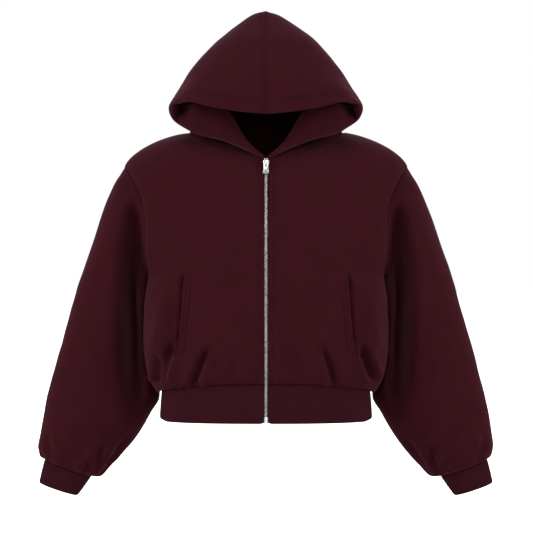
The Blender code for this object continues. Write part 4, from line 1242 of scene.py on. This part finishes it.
def makeCuff(name, sign):
    seam = sleeveRings[-1]
    turns = np.linspace(0, 2 * math.pi, ribs["cuffRibs"] * ribs["pointsPerRib"] + 1)[:-1]
    top = np.stack([np.interp(turns, sleeveTurns, seam[:, k]) for k in range(3)], 1)
    bottom = ringPoints(ribs["cuffEnd"], turns)
    axis = unit(top.mean(0) - bottom.mean(0))
    top = top - axis * cloth["seamGap"]
    top, bottom, axis = (value * (sign, 1, 1) for value in (top, bottom, axis))
    if sign > 0:
        top, bottom = top[::-1], bottom[::-1]
    return ribbedBand(name, top, bottom, True, axis)


pieces["hem_rib"] = makeHem()
for side, sign in sides.items():
    pieces["cuff_" + side] = makeCuff(f"cuff_{side}_cloth", sign)
print("ribbed bands made")


def seenFromFront(tree, x, z):
    # Where the cloth is, straight behind a point in front of it
    return tree.ray_cast(Vector((x, -1, z)), Vector((0, 1, 0)))[0]


def makeWelt(side, sign, tree):
    table = inMetres(weltRows[::-1])
    before = welt["slopeFrom"]
    lines = []
    for z in np.linspace(table[0, 0], table[-1, 0], welt["rows"] + 1):
        inner, slit, lift = (np.interp(z, table[:, 0], table[:, k]) for k in (1, 2, 3))
        near, far = (seenFromFront(tree, sign * x, z).y for x in (inner - before, inner))
        line = []
        for share in np.linspace(0, 1, welt["columns"]):
            x = inner + (slit - inner) * share
            y = far + (far - near) * (x - inner) / before
            line.append((sign * x, y - welt["rest"] - lift * share - welt["wall"], z))
        lines.append(line)
    pad = Panel("pocket_welt_" + side, lines, flips=[sign < 0])
    pad.setRows(single=pad.away(np.array(lines)[:, -1]) - topstitch["welt"])
    pieces[pad.name] = walled(pad, pad.normals(), welt["wall"], fleece)
    return pad


frontTrees = {side: panelTree(front) for side, front in fronts.items()}
weltPads = {side: makeWelt(side, sign, frontTrees[side]) for side, sign in sides.items()}
print("pocket welts made")

# The zip's line from the hem up: y, z, how far the tape lies behind it, half the tape's width
zipRows = [
    (-117.4, -534.5, 5.6, 15), (-117.4, -522.5, 5.6, 15), (-117.4, -500, 5.6, 15),
    (-117.8, -472, 6.2, 15), (-120.5, -456, 8.6, 15), (-125, -438, 6.0, 15), (-127.8, -412, 5.4, 15),
    (-128.3, -383, 5.4, 15), (-127.5, -345, 5.4, 15), (-126.5, -300, 5.4, 15), (-125.5, -258, 5.4, 15),
    (-124, -218, 5.4, 15), (-121, -178, 5.4, 15), (-115.5, -140, 5.4, 15), (-108, -106, 5.4, 15),
    (-99, -74, 5.4, 15), (-90.5, -45, 5.6, 13), (-89.5, -38, 6.2, 6.5), (-89, -33.5, 6.4, 3.2),
]
zipSteps = [3, 5, 6, 4, 4, 5, 5, 6, 7, 7, 7, 7, 7, 6, 6, 6, 4, 3]
zipSize = {
    "chainProud": 0.4 * mm,
    "chainStep": 4 * mm,  # between the points of its line
    "chainStart": 1 * mm,  # above the lower end of its solid
    "toothPitch": 2.5 * mm,
    "toothLength": 3.4 * mm,
    "toothWidth": 1.45 * mm,
    "toothDepth": 2.5 * mm,
    "toothTaper": 0.62,
    "toothEdge": 0.28 * mm,
    "toothAside": 1.05 * mm,
    "tapeMiddle": 0.5 * mm,
    "tapeThickness": 0.8 * mm,
    "tapeColumns": 7,
    "sliderEdge": 0.45 * mm,
    "tabEdge": 0.25 * mm,
    "flatAngle": 2,  # faces of a solid that turn less than this are joined, in degrees
    "sharpAngle": 0.5,  # edges sharper than this are rounded, in radians
    "shadeAngle": 40,  # and edges sharper than this are shaded sharp, in degrees
}


def makeTape(side, sign):
    lines = []
    for y, z, behind, half in smoothRows(zipRows, zipSteps):
        xs = np.linspace(zipSize["tapeMiddle"], half * mm, zipSize["tapeColumns"])
        lines.append([(sign * x, (y + behind) * mm, z * mm) for x in xs])
    tape = Panel("zip_tape_" + side, lines, flips=[sign < 0])
    return walled(tape, tape.normals(), zipSize["tapeThickness"], zipTape)


def chainLine():
    # The middle of the chain, over the length of its solid
    rows = smoothRows(zipRows, [8] * (len(zipRows) - 1))
    line = np.stack([np.zeros(len(rows)), rows[:, 0] * mm - zipSize["chainProud"], rows[:, 1] * mm], 1)
    low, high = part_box("zip_chain")
    inside = (line[:, 2] > low.z + zipSize["chainStart"]) & (line[:, 2] < high.z)
    return evened(line[inside], zipSize["chainStep"], 1)


def roundEdges(bm, edges, width, segments):
    bmesh.ops.bevel(bm, geom=edges, offset=width, segments=segments, affect="EDGES", profile=0.5)


def makeToothMesh():
    # One tooth: a rounded bar across the zip, along X, thicker where it grips the tape
    bm = bmesh.new()
    depth = zipSize["toothDepth"]
    shape = Matrix.Diagonal((zipSize["toothLength"], depth, zipSize["toothWidth"], 1))
    bmesh.ops.create_cube(bm, size=1, matrix=shape)
    bmesh.ops.translate(bm, verts=bm.verts, vec=(0, depth / 2, 0))
    for vert in bm.verts:
        if vert.co.x < 0:
            vert.co.z *= zipSize["toothTaper"]
    roundEdges(bm, bm.edges[:], zipSize["toothEdge"], 1)
    return finishMesh(bm, "tooth")


def makeStitchMesh():
    bm = bmesh.new()
    radius, length = topstitch["thread"], topstitch["stitch"]
    shape = Matrix.Diagonal((radius, radius, length / 2, 1))
    bmesh.ops.create_uvsphere(bm, u_segments=6, v_segments=4, radius=1, matrix=shape)
    return finishMesh(bm, "stitch")


def makeRowTree():
    # Copies of one small piece at even steps along each line, turned to follow it
    inputs = {"Line": "Geometry", "Step": 0.0035, "Piece": "Object", "Material": "Material"}
    tree, given = startGroup("piecesAlongLine", "Geometry", inputs)
    curve = addNode(tree, "GeometryNodeMeshToCurve", {0: given["Line"]}).outputs[0]
    inputs = {"Curve": curve, "Length": given["Step"]}
    points = addNode(tree, "GeometryNodeResampleCurve", inputs, mode="LENGTH").outputs[0]
    tangent = addNode(tree, "GeometryNodeInputTangent", {}).outputs[0]
    turn = addNode(
        tree, "FunctionNodeAlignRotationToVector", {"Vector": tangent}, axis="Z", pivot_axis="X"
    ).outputs[0]
    piece = addNode(tree, "GeometryNodeObjectInfo", {"Object": given["Piece"]}).outputs["Geometry"]
    inputs = {"Points": points, "Instance": piece, "Rotation": turn}
    copies = addNode(tree, "GeometryNodeInstanceOnPoints", inputs).outputs[0]
    real = addNode(tree, "GeometryNodeRealizeInstances", {0: copies}).outputs[0]
    inputs = {"Geometry": real, "Material": given["Material"]}
    return finishGroup(tree, "Geometry", Result=addNode(tree, "GeometryNodeSetMaterial", inputs).outputs[0])


rowTree = makeRowTree()
rowInputs = {item.name: item.identifier for item in rowTree.interface.items_tree}


def alongLines(name, lines, step, model, material):
    # Runs the tree over lines of points and keeps its result as a plain mesh
    points, edges = [], []
    for line in lines:
        start = len(points)
        points += line.tolist()
        edges += [(start + i, start + i + 1) for i in range(len(line) - 1)]
    mesh = bpy.data.meshes.new(name + "_line")
    mesh.from_pydata(points, edges, [])
    carrier = placed(name + "_line", mesh)
    modifier = carrier.modifiers.new("row", "NODES")
    modifier.node_group = rowTree
    for label, value in {"Step": step, "Piece": model, "Material": material}.items():
        modifier[rowInputs[label]] = value
    depsgraph = bpy.context.evaluated_depsgraph_get()
    made = bpy.data.meshes.new_from_object(carrier.evaluated_get(depsgraph))
    made.name = name
    bpy.data.objects.remove(carrier)
    bpy.data.objects.remove(model)
    return placed(name, made)


for side, sign in sides.items():
    pieces["zip_tape_" + side] = makeTape(side, sign)
chain = chainLine()
tooth = makeToothMesh()
teeth = []
for side, sign in sides.items():
    mesh = tooth.copy()
    aside = Matrix.Translation((sign * zipSize["toothAside"], 0, 0))
    mesh.transform(aside @ Matrix.Diagonal((sign, 1, 1, 1)))
    shift = 0
    if sign < 0:
        mesh.flip_normals()
    else:
        shift = zipSize["toothPitch"] / 2  # the two rows of teeth stand in each other's gaps
    line = chain + unit(chain[1] - chain[0]) * shift
    model = placed("tooth_" + side, mesh)
    teeth.append(alongLines("zip_teeth_" + side, [line], zipSize["toothPitch"], model, zipMetal))
print("zip made")


def seamRow(panel, column, level):
    # Stitches along the longest line on which one of the panel's rows has that level
    line = evened(contour(panel, panel.rows[:, column], level), topstitch["lineStep"])
    return line[:, :3] + unit(line[:, 3:]) * topstitch["lift"]


def hemRows(tree, sign):
    # The two rows beside the zip go on over the hem
    rows = []
    for distance in topstitch["zip"]:
        x = sign * (cloth["frontEdge"] * mm + distance)
        row = [(x, seenFromFront(tree, x, z).y, z) for z in np.arange(*topstitch["hemLevels"])]
        rows.append(evened(np.array(row), topstitch["hemStep"]) - (0, topstitch["lift"], 0))
    return rows


def tackRows(tree, sign):
    # A bar tack over each end of the slit
    rows = []
    for (z, _, slit, _), inside in ((weltRows[0], -1), (weltRows[-1], 1)):
        for step in topstitch["tacks"]:
            level = (z + inside * topstitch["tackInside"] + step) * mm
            ends = [seenFromFront(tree, sign * (slit + x) * mm, level) for x in topstitch["tackReach"]]
            rows.append(np.array(ends) - (0, topstitch["tackLift"], 0))
    return rows


hemMesh = pieces["hem_rib"].data
hemTree = BVHTree.FromPolygons([v.co for v in hemMesh.vertices], [f.vertices for f in hemMesh.polygons])
halfGap = (topstitch["zip"][1] - topstitch["zip"][0]) / 2
stitchRows = []
for side, sign in sides.items():
    front, hoodHalf = fronts[side], hoods[side]
    for panel, column in ((front, 0), (hoodHalf, 0), (hoodHalf, 2)):
        for level in (-halfGap, halfGap):
            if column != 2 or level > 0 or sign < 0:
                stitchRows.append(seamRow(panel, column, level))
    stitchRows += [seamRow(panel, 1, 0) for panel in (front, hoodHalf, weltPads[side])]
    stitchRows += hemRows(hemTree, sign) + tackRows(frontTrees[side], sign)
stitchRows.append(seamRow(backPanel, 1, 0))
stitchStep = topstitch["stitch"] + topstitch["gap"]
stitchModel = placed("stitchModel", makeStitchMesh())
stitches = alongLines("stitches_body", stitchRows, stitchStep, stitchModel, thread)
print("stitches made:", len(stitches.data.polygons))


def roundedCopy(node, width):
    # A CAD part with its edges rounded
    bm = bmesh.new()
    bm.from_mesh(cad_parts[node].data)
    bmesh.ops.remove_doubles(bm, verts=bm.verts, dist=cloth["welding"])
    flat = math.radians(zipSize["flatAngle"])
    bmesh.ops.dissolve_limit(bm, angle_limit=flat, verts=bm.verts, edges=bm.edges)
    closed = [edge for edge in bm.edges if len(edge.link_faces) == 2]
    sharp = [edge for edge in closed if edge.calc_face_angle() > zipSize["sharpAngle"]]
    roundEdges(bm, sharp, width, 2)
    mesh = finishMesh(bm, node + "_metal", zipMetal)
    mesh.set_sharp_from_angle(angle=math.radians(zipSize["shadeAngle"]))
    return placed(node + "_metal", mesh)


slider = roundedCopy("zip_slider", zipSize["sliderEdge"])
pullTab = roundedCopy("pull_tab", zipSize["tabEdge"])
for node in ("zip_pin", "zip_box", "top_stop_left", "top_stop_right"):
    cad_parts[node].data.materials.clear()
    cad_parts[node].data.materials.append(zipMetal)

# Stage, light and camera
stage = {"floorLevel": -0.702, "floorSize": 60.0, "floorColour": (0.8, 0.8, 0.8), "floorGlow": 1.3}
light = {
    "ambient": 0.10,
    "panels": {  # place, target, width and height, power
        "key": ((-0.2, -2.2, 2.6), (0, 0, -0.2), (2.4, 1.4), 46),
        "front": ((0.1, -3.5, 0.3), (0, 0, -0.3), (1.6, 1.6), 13),
        "left": ((-2.6, -1.4, 0.3), (0, 0, -0.25), (1.2, 2.0), 49),
        "right": ((2.6, -1.4, 0.3), (0, 0, -0.25), (1.2, 2.0), 45),
        "top": ((0.0, 1.0, 2.6), (0, 0, -0.2), (2.6, 1.4), 18),
        "rear": ((0.0, 2.7, 1.6), (0, 0, -0.3), (2.6, 1.0), 62),
    },
}
view = {"distance": 3.6, "aside": 0.00096, "height": -0.2429, "width": 1.0234, "sensor": 36}


def makeStage():
    bm = bmesh.new()
    bmesh.ops.create_grid(bm, x_segments=2, y_segments=2, size=stage["floorSize"] / 2)
    bmesh.ops.translate(bm, verts=bm.verts, vec=(0, 0, stage["floorLevel"]))
    material, tree, coordinates = startMaterial("paleFloor")
    speck = noiseNode(tree, coordinates, 3.0, 2.0)
    shade = mathNode(tree, "MULTIPLY_ADD", speck, *shading["floor"])
    seen = addNode(tree, "ShaderNodeLightPath", {}).outputs["Is Camera Ray"]
    setShader(
        tree,
        Base_Color=shaded(tree, stage["floorColour"], shade),
        Roughness=0.9,
        Emission_Color=(1, 1, 1, 1),
        Emission_Strength=mathNode(tree, "MULTIPLY", seen, stage["floorGlow"]),
    )
    placed("floor", finishMesh(bm, "floor", material))


def makeLight():
    # The backdrop is seen white but lights the cloth with less
    world = bpy.data.worlds.new("studio")
    world.use_nodes = True
    tree = world.node_tree
    seen = addNode(tree, "ShaderNodeLightPath", {}).outputs["Is Camera Ray"]
    background = tree.nodes["Background"].inputs
    background["Color"].default_value = (1, 1, 1, 1)
    ambient = light["ambient"]
    share = mathNode(tree, "MULTIPLY_ADD", seen, 1.0 - ambient, ambient)
    tree.links.new(share, background["Strength"])
    scene.world = world
    for name, (place, target, size, power) in light["panels"].items():
        data = bpy.data.lights.new(name, "AREA")
        data.shape = "RECTANGLE"
        data.size, data.size_y = size
        data.energy = power
        lamp = placed(name, data)
        lamp.location = place
        direction = Vector(target) - Vector(place)
        lamp.rotation_euler = direction.to_track_quat("-Z", "Y").to_euler()


def makeCamera():
    data = bpy.data.cameras.new("camera")
    data.sensor_fit = "HORIZONTAL"
    data.sensor_width = view["sensor"]
    data.lens = view["sensor"] * view["distance"] / view["width"]
    scene.camera = placed("camera", data)
    scene.camera.location = (view["aside"], -view["distance"], view["height"])
    scene.camera.rotation_euler = (math.pi / 2, 0, 0)


makeStage()
makeLight()
makeCamera()
scene.view_settings.view_transform = "Standard"

# Cut of each sheet in metres, with * for right and left: width, length and flat area, which a plain
# rectangle doesn't need, then how it is held and by what
cuts = {
    "front_*": (0.29, 0.58, 0.139, "draped", ["back"]),
    "back": (0.60, 0.60, 0.293, "draped", []),
    "sleeve_*": (0.57, 0.59, 0.264, "hung", ["front_*", "back"]),
    "hood_*": (0.44, 0.42, 0.121, "draped", ["front_*", "back"]),
    "hem_rib": (1.02, 0.074, None, "gathered", ["front_right", "front_left", "back"]),
    "cuff_*": (0.22, 0.048, None, "gathered", ["sleeve_*"]),
    "pocket_welt_*": (0.014, 0.147, None, "laid", ["front_*"]),
    "zip_tape_*": (0.015, 0.51, None, "hung", ["front_*"]),
}
slotNames = {fleece.name: "fleece", thread.name: "fleece", ribKnit.name: "rib_knit"}
slotNames |= {zipTape.name: "zip_tape", zipMetal.name: "zip_metal"}


def handOver(piece, node=None, rides=body):
    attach(piece, rides)
    if node:
        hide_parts(node)


for node, piece in pieces.items():
    handOver(piece, node)
for label, (width, length, area, held, holders) in cuts.items():
    for side in sides if "*" in label else ("",):
        piece, *under = (pieces[name.replace("*", side)] for name in (label, *holders))
for piece in teeth:
    handOver(piece, "zip_chain")
handOver(stitches)
handOver(slider, "zip_slider")
handOver(pullTab, "pull_tab", "zip_pull")

print("pieces handed over")
